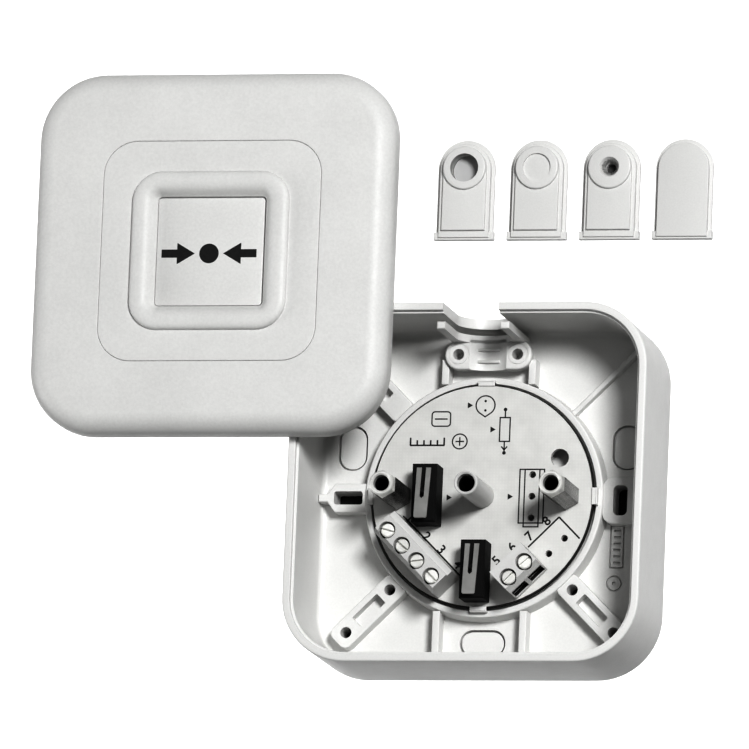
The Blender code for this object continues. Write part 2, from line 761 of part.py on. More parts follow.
def make_cover_shell(plastic):
    loops = [(cover_outline(0.3), 0.0), (cover_outline(0.0), 0.3)]
    for step in range(SHOULDER_STEPS + 1):
        turn = pi / 2 * step / SHOULDER_STEPS
        inset = COVER_SHOULDER * (1 - cos(turn))
        height = COVER_HEIGHT - COVER_SHOULDER * (1 - sin(turn))
        loops.append((cover_outline(inset), height))
    shell = stack("cover_shell", loops, 40.0)
    outer = cover_outline(COVER_WALL)
    crest = cover_outline(COVER_WALL + 2.0)
    well_outer = rounded(WELL_SIDE + 2 * WELL_WALL, WELL_SIDE + 2 * WELL_WALL, WELL_RADIUS + WELL_WALL)
    roof = COVER_HEIGHT - COVER_WALL
    hollow = (
        (outer, -THROUGH), (outer, roof - 2.0), (crest, roof),
        (well_outer, roof), (well_outer, -THROUGH),
    )
    cut(shell, frame("cut_cover_hollow", hollow))
    well = rounded(WELL_SIDE, WELL_SIDE, WELL_RADIUS)
    cut(shell, prism("cut_well", well, WELL_FLOOR, COVER_HEIGHT + THROUGH))
    holes = [(circle(STEM_HOLE), -THROUGH, WELL_FLOOR + THROUGH)]
    for side in (-1, 1):
        hole = circle(COVER_SCREW_RADIUS + 0.3, (side * POST_SPACING, 0.0), SMALL_SIDES)
        holes.append((hole, -THROUGH, WELL_FLOOR + THROUGH))
    cut(shell, prisms("cut_cover_holes", holes))
    return dress(on_cover(shell), plastic)


def bead_loops():
    """The bead rises steeply at its outer edge and slopes gently in to the opening."""
    def ring(side, radius, z):
        return (rounded(side, side, radius), z)

    face, crest = COVER_HEIGHT, COVER_HEIGHT + BEAD_RISE
    slope = (BEAD_SIDE - OPENING_SIDE) / 2
    return [
        ring(BEAD_SIDE, BEAD_RADIUS, face),
        ring(BEAD_SIDE - 0.5, BEAD_RADIUS - 0.25, crest - 0.6),
        ring(BEAD_SIDE - 1.3, BEAD_RADIUS - 0.65, crest - 0.2),
        ring(BEAD_SIDE - 2.6, BEAD_RADIUS - 1.3, crest),
        ring(BEAD_SIDE - 4.0, BEAD_RADIUS - 2.0, crest - 0.1),
        ring(BEAD_SIDE - 1.1 * slope, BEAD_RADIUS - 3.0, crest - 0.45),
        ring(BEAD_SIDE - 1.6 * slope, BEAD_RADIUS - 4.3, crest - 1.0),
        ring(OPENING_SIDE, OPENING_RADIUS, face - 0.1),
    ]


def make_centre_plate(plastic):
    """The thin plate that closes the well, with the bead round the button and its guide below."""
    plate = rounded(PLATE_SIDE, PLATE_SIDE, WELL_RADIUS - GAP)
    edge = rounded(PLATE_SIDE - 0.4, PLATE_SIDE - 0.4, WELL_RADIUS - GAP - 0.2)
    collar_outer = rounded(COLLAR_OUTER, COLLAR_OUTER, 2.0)
    collar_inner = rounded(COLLAR_INNER, COLLAR_INNER, 0.8)
    opening = rounded(OPENING_SIDE, OPENING_SIDE, OPENING_RADIUS)
    loops = [
        (collar_outer, COLLAR_LOW), (collar_outer, PLATE_LOW), (plate, PLATE_LOW),
        (plate, COVER_HEIGHT - 0.2), (edge, COVER_HEIGHT), *bead_loops(),
        (opening, PLATE_LOW), (collar_inner, PLATE_LOW), (collar_inner, COLLAR_LOW),
    ]
    return dress(on_cover(frame("centre_plate", loops, 50.0)), plastic)


def make_button(plastic):
    def square(side, radius):
        return rounded(side, side, radius, steps=4)

    flange = square(BUTTON_FLANGE, 0.5)
    cap = square(BUTTON_CAP, OPENING_RADIUS - GAP)
    crown = square(BUTTON_CAP - 0.4, OPENING_RADIUS - GAP - 0.2)
    loops = (
        (flange, BUTTON_LOW), (flange, BUTTON_STEP), (cap, BUTTON_STEP),
        (cap, BUTTON_TOP - 0.2), (crown, BUTTON_TOP),
    )
    button = stack("alarm_button", loops)
    stem = circle(STEM_RADIUS)
    point = circle(STEM_RADIUS - 0.4)
    add(button, stack("add_stem", ((point, STEM_LOW), (stem, STEM_LOW + 0.4), (stem, BUTTON_LOW + 0.4))))
    return dress(on_cover(button), plastic)


def make_button_spring(steel):
    """A coil between the well's floor and the button, round the stem."""
    sides, steps_per_turn = 8, 16
    low = WELL_FLOOR + GAP + SPRING_WIRE
    rise = BUTTON_LOW - GAP - SPRING_WIRE - low
    total = int(SPRING_TURNS * steps_per_turn)
    slope = rise / (2 * pi * SPRING_RADIUS * SPRING_TURNS)
    bm = bmesh.new()
    rows = []
    for step in range(total + 1):
        turn = 2 * pi * step / steps_per_turn
        outward = Vector((cos(turn), sin(turn), 0.0))
        forward = Vector((-sin(turn), cos(turn), slope)).normalized()
        upward = outward.cross(forward).normalized()
        centre = outward * SPRING_RADIUS + Vector((0.0, 0.0, low + rise * step / total))
        row = []
        for side in range(sides):
            around = 2 * pi * side / sides
            offset = outward * cos(around) * SPRING_WIRE + upward * sin(around) * SPRING_WIRE
            row.append(bm.verts.new((centre + offset) * MM))
        rows.append(row)
    for first, second in zip(rows, rows[1:]):
        bridge(bm, first, second)
    bm.faces.new(rows[0])
    bm.faces.new(reversed(rows[-1]))
    return dress(on_cover(finish("button_spring", bm, 60.0)), steel)


def make_cover_screws(zinc):
    """Captive screws, drawn back so that their points stay inside the cover."""
    head = circle(COVER_SCREW_HEAD)
    crown = circle(COVER_SCREW_HEAD - 0.5)
    shank = circle(COVER_SCREW_RADIUS)
    point = circle(COVER_SCREW_RADIUS - 0.4)
    top = COVER_SCREW_SEAT + COVER_SCREW_HEAD_HEIGHT
    loops = (
        (point, COVER_SCREW_TIP), (shank, COVER_SCREW_TIP + 0.4), (shank, COVER_SCREW_SEAT),
        (head, COVER_SCREW_SEAT), (head, top - 0.5), (crown, top),
    )
    for side, name in ((-1, "left"), (1, "right")):
        screw = on_cover(stack(f"cover_screw_{name}", loops))
        slot = prism(f"cut_cover_slot_{name}", box((-4.0, -0.4), (4.0, 0.4)), top - 0.8, top + THROUGH)
        cut(screw, slot)
        screw.location.x += side * POST_SPACING * MM
        dress(screw, zinc)


# Inserts


def insert_body(name):
    """A flange, a neck that fits the cable entry, and a foot across the lower end."""
    low, high = -INSERT_HEIGHT / 2, INSERT_HEIGHT / 2
    flange = arch(INSERT_WIDTH - 0.6, low + FOOT_HEIGHT, high)
    body = prism(name, flange, 0.0, INSERT_FLANGE)
    neck_inset = (INSERT_WIDTH - NECK_WIDTH) / 2
    add(body, prism(f"add_{name}_neck", arch(NECK_WIDTH, low + 0.5, high - neck_inset), 0.2, NECK_TOP))
    half = INSERT_WIDTH / 2
    foot = box((-half, low), (half, low + FOOT_HEIGHT + 0.2))
    add(body, prism(f"add_{name}_foot", foot, 0.05, NECK_TOP - 0.5))
    return body


def add_pad_and_collar(body, collar_y):
    """The raised panel, and the round boss that stands a little over its upper end."""
    name = body.name
    top = INSERT_HEIGHT / 2 - (INSERT_WIDTH - PAD_WIDTH) / 2
    pad = arch(PAD_WIDTH, -INSERT_HEIGHT / 2 + 2.1, top)
    add(body, prism(f"add_{name}_pad", pad, NECK_TOP - 0.3, INSERT_PAD_TOP))
    collar = circle(COLLAR_RADIUS, (0.0, collar_y))
    add(body, prism(f"add_{name}_collar", collar, NECK_TOP - 0.4, COLLAR_TOP))


def make_inserts(plastic):
    names = ("insert_large_bore", "insert_knock_out", "insert_small_bore", "insert_blank")
    collar_y = INSERT_HEIGHT / 2 - COLLAR_DROP
    for index, name in enumerate(names):
        body = insert_body(name)
        if name != "insert_blank":
            add_pad_and_collar(body, collar_y)
        centre = (0.0, collar_y)
        if name == "insert_large_bore":
            cut(body, prism("cut_large_bore", circle(LARGE_BORE, centre), -THROUGH, 6.0))
        if name == "insert_knock_out":
            groove = ((circle(3.3, centre), 2.2), (circle(3.3, centre), 6.0),
                      (circle(2.9, centre), 6.0), (circle(2.9, centre), 2.2))
            cut(body, frame("cut_groove", groove))
        if name == "insert_small_bore":
            funnel = ((circle(SMALL_BORE, centre), 1.6), (circle(SMALL_BORE, centre), 2.2),
                      (circle(FUNNEL_RADIUS, centre), COLLAR_TOP + 0.3))
            cut(body, stack("cut_funnel", funnel))
            cut(body, prism("cut_small_bore", circle(SMALL_BORE, centre), -THROUGH, 2.0))
        x = INSERT_FIRST_X + index * INSERT_PITCH
        body.location = (x * MM, INSERT_MIDDLE_Y * MM, 0.0)
        dress(body, plastic)


def main():
    clear_scene()
    plastic = material("housing_plastic", WHITE_PLASTIC, 0.45)
    cover_plastic = material("cover_plastic", WHITE_PLASTIC, 0.5)
    insert_plastic = material("insert_plastic", WHITE_PLASTIC, 0.45)
    board = material("board_laminate", BOARD_GREY, 0.5)
    terminal = material("terminal_plastic", TERMINAL_GREY, 0.4)
    black = material("switch_plastic", BLACK_PLASTIC, 0.35)
    ivory = material("tube_plastic", IVORY_TUBE, 0.4)
    steel = material("spring_steel", LEVER_STEEL, 0.35, 1.0)
    nickel = material("nickel_plate", NICKEL, 0.25, 1.0)
    zinc = material("zinc_plate", ZINC, 0.3, 1.0)
    tin = material("tinned_brass", TIN, 0.35, 1.0)
    make_base_box(plastic)
    make_board(board)
    make_posts(nickel, ivory, zinc)
    for index, place in enumerate(SWITCH_PLACES):
        make_switch(index + 1, place, black, steel, tin, ivory)
    make_terminals(terminal, zinc, tin)
    make_cover_shell(cover_plastic)
    make_centre_plate(cover_plastic)
    make_button(cover_plastic)
    make_button_spring(steel)
    make_cover_screws(zinc)
    make_inserts(insert_plastic)


main()
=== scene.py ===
"""Looks for the opened manual call point: moulded plastic, printed circuit board, switches,
terminals and metal parts, built round the frame that the CAD model gives.

Shapes are drawn in millimetres about a point of the frame; MM turns them into metres.
"""

from math import cos, pi, radians, sin, sqrt, tan

import bmesh
import bpy
from mathutils import Matrix, Vector

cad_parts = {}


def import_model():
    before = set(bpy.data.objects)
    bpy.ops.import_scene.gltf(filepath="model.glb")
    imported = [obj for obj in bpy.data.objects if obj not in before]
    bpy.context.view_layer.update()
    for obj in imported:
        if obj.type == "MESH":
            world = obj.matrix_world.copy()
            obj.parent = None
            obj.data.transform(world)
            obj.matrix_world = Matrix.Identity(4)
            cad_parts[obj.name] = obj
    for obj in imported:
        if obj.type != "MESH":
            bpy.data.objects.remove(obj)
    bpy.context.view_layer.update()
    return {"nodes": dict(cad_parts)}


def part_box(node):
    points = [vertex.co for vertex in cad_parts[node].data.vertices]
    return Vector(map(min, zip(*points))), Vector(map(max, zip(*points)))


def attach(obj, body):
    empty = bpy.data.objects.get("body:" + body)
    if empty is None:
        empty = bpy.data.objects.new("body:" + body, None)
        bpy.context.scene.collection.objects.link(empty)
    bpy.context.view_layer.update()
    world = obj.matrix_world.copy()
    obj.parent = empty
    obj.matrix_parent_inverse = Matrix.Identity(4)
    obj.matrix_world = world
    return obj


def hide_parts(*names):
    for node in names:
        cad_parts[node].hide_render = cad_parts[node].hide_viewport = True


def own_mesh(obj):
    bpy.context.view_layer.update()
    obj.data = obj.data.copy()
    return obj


MM = 0.001
CORNER_STEPS = 16
ROUND_SIDES = 64
SMALL_SIDES = 32
FILLET_STEPS = 4
SINK = 0.3  # how far a moulded rib is sunk into the floor that it grows from
SHARP = 40.0  # degrees between faces that meet in a visible edge
BELOW = -1.0  # height under a part at which a cut through it starts
CLEAR = 1.0  # how far a cut runs past the surface that it opens
RELIEF = 0.00001  # metres, of the finest lines in metal and laminate

# Camera: a long lens from the lower right, which shows the box's right and lower walls
CAMERA_TARGET = Vector((-0.0255, 0.0277, 0.014))
CAMERA_AZIMUTH = 51.64
CAMERA_ELEVATION = 73.0
CAMERA_ROLL = 2.3
CAMERA_DISTANCE = 3.0
CAMERA_SENSOR = 36.0
CAMERA_LENS = 621.8
CAMERA_REACH = 20.0

# Lamps: direction in plan from +X, elevation, size across and power. The key stands at the
# upper right, and a wide weak one at the left fills the shaded sides
LAMP_DISTANCE = 1.2
KEY = (23.0, 60.0, 0.3, 13.8)
SIDE_FILL = (193.0, 14.0, 0.6, 6.0)
CONTRAST_GAMMA = 0.62
CONTRAST_EXPOSURE = 0.22
SKY = 0.02
HORIZON = 0.34
OVERHEAD = 0.55
SKY_START = 0.5  # these three are sines of an elevation
SKY_END = 0.88
OVERHEAD_START = 0.94

# Ground: the floor, and dark sheets on it, painted shade where the object keeps the light away
FLOOR_SUN = 3.6
FLOOR_SIDE = 6000.0
FLOOR_LOW = -20.0
FLOOR_TOP = -0.02
SHADE_SHEET_LOW = -0.019
SHADE_SHEET_TOP = -0.01
SHADE_INSET = 3.0

# Base box
WALL = 2.4
FLOOR = 2.5
BOX_RADIUS = 15.0
LIP_WIDTH = 0.6
LIP_DEPTH = 1.3
RIB_X = 10.3
RIB_WIDTH = 1.8
RIB_TOP = 6.9
RIB_TUCK = 1.6  # how far a rib runs in under the board ring
PAD_TOP = 6.4
EDGE = 0.3  # radius of the moulding's small edges
ENTRY_WIDTH = 13.2
ENTRY_BOTTOM = 6.5
ENTRY_RUN = 0.6  # how far the entry's cut runs on past the wall
SADDLE_Y = 33.5
SADDLE_WIDTH = 20.6
SADDLE_LENGTH = 7.2
SADDLE_TOP = 8.2
SADDLE_HOLE_X = 7.0
SADDLE_HOLE = 1.3
SADDLE_GROOVE = (2.5, 2.25, 0.25)  # outer radius, inner radius, depth
SADDLE_OVER = 12.0  # height at which the cuts in the saddle end
SADDLE_UNDERCUT = (1.3, 3.0)  # how far the foot steps in, and how high
RIDGE_OFFSETS = (-1.6, 1.2)
RIDGE_HALF = (2.6, 0.35)
RIDGE_LOW = ENTRY_BOTTOM - 1.0
RIDGE_TOP = ENTRY_BOTTOM + 0.9
GUIDE_WIDTH = 17.2
GUIDE_TOP = 25.0
GUIDE_THICK = 1.8
INSERT_SLOT = 1.5
RING_INNER = 26.7
RING_TOP = 7.0
RING_OUTER = 28.2
RING_FOOT = 28.7
RING_LEDGE = 24.6
RING_LEDGE_TOP = 6.5
RING_GROOVE_INNER = 25.6
RING_GROOVE_LOW = 4.0
LUG_REACH = 25.9
LUG_WIDTH = 4.0
LUG_TOP = 8.8
BOARD_TOP = 8.4
BOARD_RADIUS = 26.0
BOARD_THICK = 1.6
BOARD_EDGE = 0.22  # width of a near-black band round the board's cut edge, in the gap: painted shade
BAR_START = 27.4
BAR_END = 48.0
BAR_WIDTH = 6.0
BARS = ((-135.0, (30.6, 44.8)), (-45.0, (30.6, 44.8)), (135.0, (44.8,)))
BAR_HOLE_RADIUS = 1.3
WINDOW = (33.4, 41.4, 3.0)  # start, end and width
WINDOW_FLOOR = FLOOR + 0.8
PADS_OVER = 9.0  # height at which the cuts in the pads end
DIAGONAL_HALF = 0.6
DIAGONAL_END = BAR_END + 2.0
DIAGONAL_TOP = PAD_TOP - 1.5

# Left bracket: (x, half width) along it. Slots and right boss: width, length, radius, centre
BRACKET = ((-39.5, 0.9), (-37.4, 0.9), (-35.6, 3.4), (-27.6, 3.4))
LEFT_SLOT = (6.8, 3.1, 0.6, (-32.4, 0.0))
RIGHT_BOSS = (12.0, 11.0, 2.4, (34.0, -0.6))
RIGHT_SLOT = (3.3, 7.1, 1.2, (32.2, -0.6))

# Knock-outs in the floor, and the narrow moat round each
KNOCK_OUT_DEPTH = 0.6
MOAT_DEPTH = 1.7
MOAT_WIDTH = 0.45
KNOCK_OUTS = (
    (6.9, 10.6, 3.3, (-32.6, 12.4)), (6.9, 10.6, 3.3, (32.6, 12.4)), (10.8, 6.4, 3.1, (0.0, -33.6)),
)

# Mould marks: a frame with a column of bars, and a dial; rings as (radius, sides)
MARK_PLACE = (31.0, -10.9)
MARK_DEPTH = 0.7
MARK_SIZE = (3.4, 10.2)
MARK_LINE = 0.35
MARK_BAR = (1.7, 0.6, 0.1)
MARK_ROWS = 6
MARK_PITCH = 1.5
DIAL_OFFSET = (-0.4, -8.6)
DIAL_RINGS = ((1.9, 40), (1.5, 40), (0.5, 16))

# Cover
COVER_RADIUS = 15.5
COVER_SHOULDER = 4.75
COVER_WALL = 2.2
WELL_SIDE = 51.9
WELL_RADIUS = 8.0
WELL_WALL = 1.6
WELL_FLOOR = 1.2
COVER_HEIGHT = 8.0
STEM_HOLE = 2.2
SPRING_RADIUS = 3.6
SPRING_WIRE = 0.2
SPRING_TURNS = 3.0
SPRING_SIDES = 12
COVER_SCREW_X = 20.0
COVER_SCREW_HOLE = 1.75
PLATE_THICK = 1.6
PLATE_GAP = 0.06
BEAD_SIDE = 37.4
BEAD_RADIUS = 7.0
BEAD_RISE = 1.5
OPENING_SIDE = 25.6
OPENING_RADIUS = 0.9
FACE_GAP = 0.13
FACE_SHIFT = 0.1  # the cap sits low and left in its opening
FACE_LIFT = 0.05
FACE_THICK = 1.4
COLLAR_INNER = 27.8
COLLAR_OUTER = 30.2

# Inserts: where each piece starts and ends over the back, and the radius of its edge
FLANGE = (0.0, 1.2)
FLANGE_EDGE = 0.15
FLANGE_INSET = 0.3
INSERT_FOOT = (0.0, 2.1)
FOOT_HEIGHT = 1.7
NECK = (0.2, 2.6)
NECK_WIDTH = 12.0
INSERT_PAD = (2.3, 3.4)
INSERT_PAD_WIDTH = 10.3
INSERT_EDGE = 0.2
COLLAR = (2.2, 4.2)
COLLAR_RADIUS = 5.1
COLLAR_EDGE = 0.4
HUB_DROP = 7.0  # from the insert's top to the middle of its bore
HUB_OVER = 6.0  # height at which the cuts in an insert end
INSERT_UNDERCUT = (0.35, 0.35)
LARGE_BORE = 3.35
SMALL_BORE = 1.2
FUNNEL = ((0.9, 1.9), (2.6, 4.6))  # (radius, height) at its foot and at its mouth
DIMPLE = (3.3, 3.6)  # radius, and height of its bottom

# Painted shade on the ground seen through an insert's bore, in the insert's own shadow: radius and sheet
SHADED_BORES = {"insert_large_bore": (3.6, "grey"), "insert_small_bore": (1.25, "dark")}

# Wire entries of the terminals: half width and heights, the wall of the black lining that paints shade
# in them, and how far out it lies
ENTRY_HALF = 2.03
ENTRY_LOW = 10.02
ENTRY_HIGH = 15.58
THROAT_WALL = 0.12
THROAT_BACK = 22.65
THROAT_FRONT = 23.4

# Posts and the threads in them
HEX_ACROSS = 5.7
HEX_BORE = 1.85
TUBE_RADIUS = 2.8
TUBE_BORE = 2.1
CROWN_HEIGHT = 2.2
CROWN_EDGE = 0.25
BORE_BEVEL = 0.35
THREAD_FOOT = 5.0
THREAD_PITCH = 0.7
THREAD_DEPTH = 0.3
THREAD_GAP = 0.02
THREAD_CREST = 0.05

# Print on the board and on the button
INK_THICK = 0.02
INK_SINK = 0.01
LINE = 0.28
BOLD_LINE = LINE * 1.3
STROKE = 0.05  # how much the strokes of the numbers are thickened
NUMBER_HEIGHT = 2.2
ARROW_TAIL = -11.3
ARROW_NECK = -7.6
ARROW_TIP = -3.4
SHAFT_HALF = 0.95
HEAD_HALF = 2.5
SPOT_RADIUS = 2.3
PRINT_SHIFT = (-0.3, -0.5)
LAMP_SYMBOL = (-0.1, 21.4, 2.25)  # x, y, radius
TERMINAL_ROW = -16.45  # of the line behind the terminals
TERMINAL_PITCH = 5.08


# Outlines: lists of (x, y), counter-clockwise


def rounded(width, height, radius, centre=(0.0, 0.0), steps=CORNER_STEPS):
    """A rectangle with round corners."""
    radius = max(radius, 0.01)
    points = []
    for quarter, (sx, sy) in enumerate(((1, 1), (-1, 1), (-1, -1), (1, -1))):
        cx = centre[0] + sx * (width / 2 - radius)
        cy = centre[1] + sy * (height / 2 - radius)
        for step in range(steps + 1):
            turn = (quarter + step / steps) * pi / 2
            points.append((cx + radius * cos(turn), cy + radius * sin(turn)))
    return points


def square(side, radius, inset=0.0):
    return rounded(side - 2 * inset, side - 2 * inset, radius - inset)


def box(low, high):
    """An upright rectangle from its lower left to its upper right corner."""
    return [(low[0], low[1]), (high[0], low[1]), (high[0], high[1]), (low[0], high[1])]


def circle(radius, centre=(0.0, 0.0), sides=ROUND_SIDES):
    turns = (2 * pi * side / sides for side in range(sides))
    return [(centre[0] + radius * cos(turn), centre[1] + radius * sin(turn)) for turn in turns]


def arch(width, low, high, steps=SMALL_SIDES):
    """A plate with a half-round upper end."""
    radius = width / 2
    points = [(-radius, low), (radius, low)]
    for step in range(steps + 1):
        turn = pi * step / steps
        points.append((radius * cos(turn), high - radius + radius * sin(turn)))
    return points


def turned(points, degrees):
    turn = radians(degrees)
    return [(x * cos(turn) - y * sin(turn), x * sin(turn) + y * cos(turn)) for x, y in points]


def moved(points, offset):
    return [(x + offset[0], y + offset[1]) for x, y in points]


def mirrored(stations):
    """An outline through (x, half width) stations, the same on both sides of the x axis."""
    lower = [(x, -half) for x, half in stations]
    return lower + [(x, half) for x, half in reversed(stations)]


def shrunk(points, distance):
    """An outline moved inwards by distance, each corner along its own bisector."""
    if abs(distance) < 1e-9:
        return list(points)
    result = []
    count = len(points)
    for index, point in enumerate(points):
        here = Vector(point)
        before = (here - Vector(points[index - 1])).normalized()
        after = (Vector(points[(index + 1) % count]) - here).normalized()
        bisector = (before + after).normalized()
        inward = Vector((-bisector.y, bisector.x))
        along = max(0.3, sqrt((1 + before.dot(after)) / 2))
        result.append(tuple(here + inward * distance / along))
    return result


def eased(corners, steps=FILLET_STEPS):
    """A profile of (across, z, radius) with each corner turned into an arc of that radius."""
    path = []
    for index, (across, z, radius) in enumerate(corners):
        here = Vector((across, z))
        if radius <= 0 or index in (0, len(corners) - 1):
            path.append((across, z))
            continue
        back = (Vector(corners[index - 1][:2]) - here).normalized()
        ahead = (Vector(corners[index + 1][:2]) - here).normalized()
        half = back.angle(ahead) / 2
        reach = radius / tan(half)
        centre = here + (back + ahead).normalized() * radius / sin(half)
        start, end = here + back * reach - centre, here + ahead * reach - centre
        for step in range(steps + 1):
            share = step / steps
            arm = (start * (1 - share) + end * share).normalized() * radius
            path.append(tuple(centre + arm))
    return path


# Meshes


def prism(outline, low, high):
    return ((outline, low), (outline, high))


def tube(outer, inner, low, high):
    """A straight-sided frame: up the outer outline and down the inner one."""
    return ((outer, low), (outer, high), (inner, high), (inner, low))


def bridge(bm, first, second):
    """A band of faces between two rings of the same length."""
    count = len(first)
    for index in range(count):
        after = (index + 1) % count
        bm.faces.new((first[index], first[after], second[after], second[index]))


def loops_into(bm, loops):
    return [[bm.verts.new((x * MM, y * MM, z * MM)) for x, y in outline] for outline, z in loops]


def add_stack(bm, loops):
    """A solid through outlines of equal length, given from the lowest up: (outline, z)."""
    rows = loops_into(bm, loops)
    bm.faces.new(reversed(rows[0]))
    for lower, upper in zip(rows, rows[1:]):
        bridge(bm, lower, upper)
    bm.faces.new(rows[-1])


def add_frame(bm, loops):
    """A solid with a way through it: the outlines run up the outside, then down the inside."""
    rows = loops_into(bm, loops)
    for index, row in enumerate(rows):
        bridge(bm, row, rows[(index + 1) % len(rows)])


def linked(name, data):
    item = bpy.data.objects.new(name, data)
    bpy.context.scene.collection.objects.link(item)
    return item


def finished(name, bm, origin=(0, 0, 0), sharp=SHARP):
    """Links the mesh as an object, moved to origin, smooth but for its sharp edges."""
    bmesh.ops.recalc_face_normals(bm, faces=bm.faces)
    mesh = bpy.data.meshes.new(name)
    bm.to_mesh(mesh)
    bm.free()
    mesh.transform(Matrix.Translation(origin))
    mesh.shade_smooth()
    mesh.set_sharp_from_angle(angle=radians(sharp))
    return linked(name, mesh)


def stack(name, loops, origin=(0, 0, 0), sharp=SHARP, add=add_stack):
    bm = bmesh.new()
    add(bm, loops)
    return finished(name, bm, origin, sharp)


def frame_of(name, loops, origin=(0, 0, 0), sharp=SHARP):
    return stack(name, loops, origin, sharp, add_frame)


def slab(name, outline, low, high, origin=(0, 0, 0), edge=EDGE, undercut=None):
    """An upright slab with a round upper edge. undercut: how far its foot steps in, how high."""
    loops = [(outline, low)]
    for step in range(FILLET_STEPS + 1):
        turn = pi / 2 * step / FILLET_STEPS
        loops.append((shrunk(outline, edge * (1 - cos(turn))), high - edge + edge * sin(turn)))
    if undercut:
        depth, height = undercut
        foot = shrunk(outline, depth)
        loops = [(foot, low), (foot, low + height), (outline, low + 1.2 * height)] + loops[1:]
    return stack(name, loops, origin)


def cut(target, shapes, origin=(0, 0, 0)):
    """Cuts upright prisms out of a mesh: (outline, low, high). The result replaces the mesh."""
    bm = bmesh.new()
    for outline, low, high in shapes:
        add_stack(bm, prism(outline, low, high))
    cut_with(target, finished("cutter", bm, origin))


def evaluated_mesh(item):
    bpy.context.view_layer.update()
    shape = item.evaluated_get(bpy.context.evaluated_depsgraph_get())
    return bpy.data.meshes.new_from_object(shape)


def cut_with(target, tool):
    """Takes the tool's volume out of the target, and the tool out of the scene."""
    step = target.modifiers.new("cut", "BOOLEAN")
    step.operation = "DIFFERENCE"
    step.solver = "EXACT"
    step.object = tool
    result = evaluated_mesh(target)
    target.modifiers.clear()
    target.data = result
    bpy.data.objects.remove(tool, do_unlink=True)
    result.shade_smooth()
    result.set_sharp_from_angle(angle=radians(SHARP))


def stands_for(item, body, slot, material, *nodes):
    """Puts a finished piece on its body, in its material, and hides the CAD nodes that it replaces. The
    slot is not used.
    """
    item.data.materials.clear()
    item.data.materials.append(material)
    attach(item, body)
    if nodes:
        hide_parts(*nodes)


# Materials


def put(tree, socket, value):
    """Links an output to a socket, or sets the socket's own value."""
    if isinstance(value, bpy.types.NodeSocket):
        tree.links.new(value, socket)
    else:
        socket.default_value = value


def add_node(tree, kind, output, settings=None, **inputs):
    """A new node's output. The inputs go by the names of the sockets, with _ for a space."""
    made = tree.nodes.new(kind)
    for name, value in (settings or {}).items():
        setattr(made, name, value)
    for name, value in inputs.items():
        put(tree, made.inputs[name.replace("_", " ")], value)
    return made.outputs[output]


def arithmetic(tree, operation, *values):
    made = tree.nodes.new("ShaderNodeMath")
    made.operation = operation
    for socket, value in zip(made.inputs, values):
        put(tree, socket, value)
    return made.outputs[0]


def noise(tree, coordinates, scale, detail=2.0, roughness=0.5, stretch=(1, 1, 1)):
    vector = add_node(tree, "ShaderNodeMapping", "Vector", Vector=coordinates, Scale=stretch)
    return add_node(
        tree, "ShaderNodeTexNoise", "Fac",
        Vector=vector, Scale=scale, Detail=detail, Roughness=roughness,
    )


def spread(tree, value, low, high):
    """Maps the middle of a noise to low..high."""
    return add_node(
        tree, "ShaderNodeMapRange", "Result",
        Value=value, From_Min=0.3, From_Max=0.7, To_Min=low, To_Max=high,
    )


def two_tone(tree, value, dark, light):
    return add_node(
        tree, "ShaderNodeMix", "Result", {"data_type": "RGBA"},
        Factor=value, A=dark, B=light,
    )


def bump(tree, height, strength, distance):
    return add_node(
        tree, "ShaderNodeBump", "Normal", Height=height, Strength=strength, Distance=distance
    )


def new_material(name):
    """A material with its node tree and its object coordinates."""
    made = bpy.data.materials.new(name)
    made.use_nodes = True
    return made, made.node_tree, add_node(made.node_tree, "ShaderNodeTexCoord", "Object")


def set_shader(tree, **inputs):
    """Sets the shader's sockets by name, with _ for a space."""
    for name, value in inputs.items():
        put(tree, tree.nodes["Principled BSDF"].inputs[name.replace("_", " ")], value)


def grey(value, tint=0.0):
    return (value, value, value * (1 - tint), 1.0)


def plastic(name, value, roughness, grain=2600.0, depth=0.00002, contrast=0.035):
    """Moulded plastic: a fine spark-eroded grain, faint flow clouds and scuffs in the gloss."""
    made, tree, coordinates = new_material(name)
    clouds = spread(tree, noise(tree, coordinates, 70.0, 3.0), 0.0, 1.0)
    grains = noise(tree, coordinates, grain, 2.0, 0.6)
    tone = arithmetic(tree, "MULTIPLY_ADD", clouds, 0.4, spread(tree, grains, 0.0, 0.6))
    dark, light = grey(value * (1 - contrast), 0.012), grey(value * (1 + contrast), 0.012)
    scuffs = noise(tree, coordinates, 420.0, 4.0, 0.7)
    set_shader(
        tree,
        Base_Color=two_tone(tree, tone, dark, light),
        Roughness=spread(tree, scuffs, roughness - 0.06, roughness + 0.06),
        Normal=bump(tree, grains, 0.5, depth),
        Specular_IOR_Level=0.35,
    )
    return made


def metal(name, value, roughness, stretch=(1, 1, 14), contrast=0.12, clouds=(260.0, (1, 1, 1)),
          metallic=1.0):
    """Plated metal with drawn lines, and tarnish in clouds or in streaks; dark and strongly streaked, it
    is painted shade and reflection.
    """
    made, tree, coordinates = new_material(name)
    lines = noise(tree, coordinates, 900.0, 3.0, 0.6, stretch)
    tarnish_and_painted_streaks = noise(tree, coordinates, clouds[0], 3.0, stretch=clouds[1])
    dark, light = grey(value * (1 - contrast), 0.03), grey(min(1.0, value * (1 + contrast)), 0.02)
    set_shader(
        tree,
        Base_Color=two_tone(tree, spread(tree, tarnish_and_painted_streaks, 0.0, 1.0), dark, light),
        Roughness=spread(tree, lines, roughness - 0.08, roughness + 0.1),
        Normal=bump(tree, lines, 0.35, RELIEF),
        Metallic=metallic,
    )
    return made


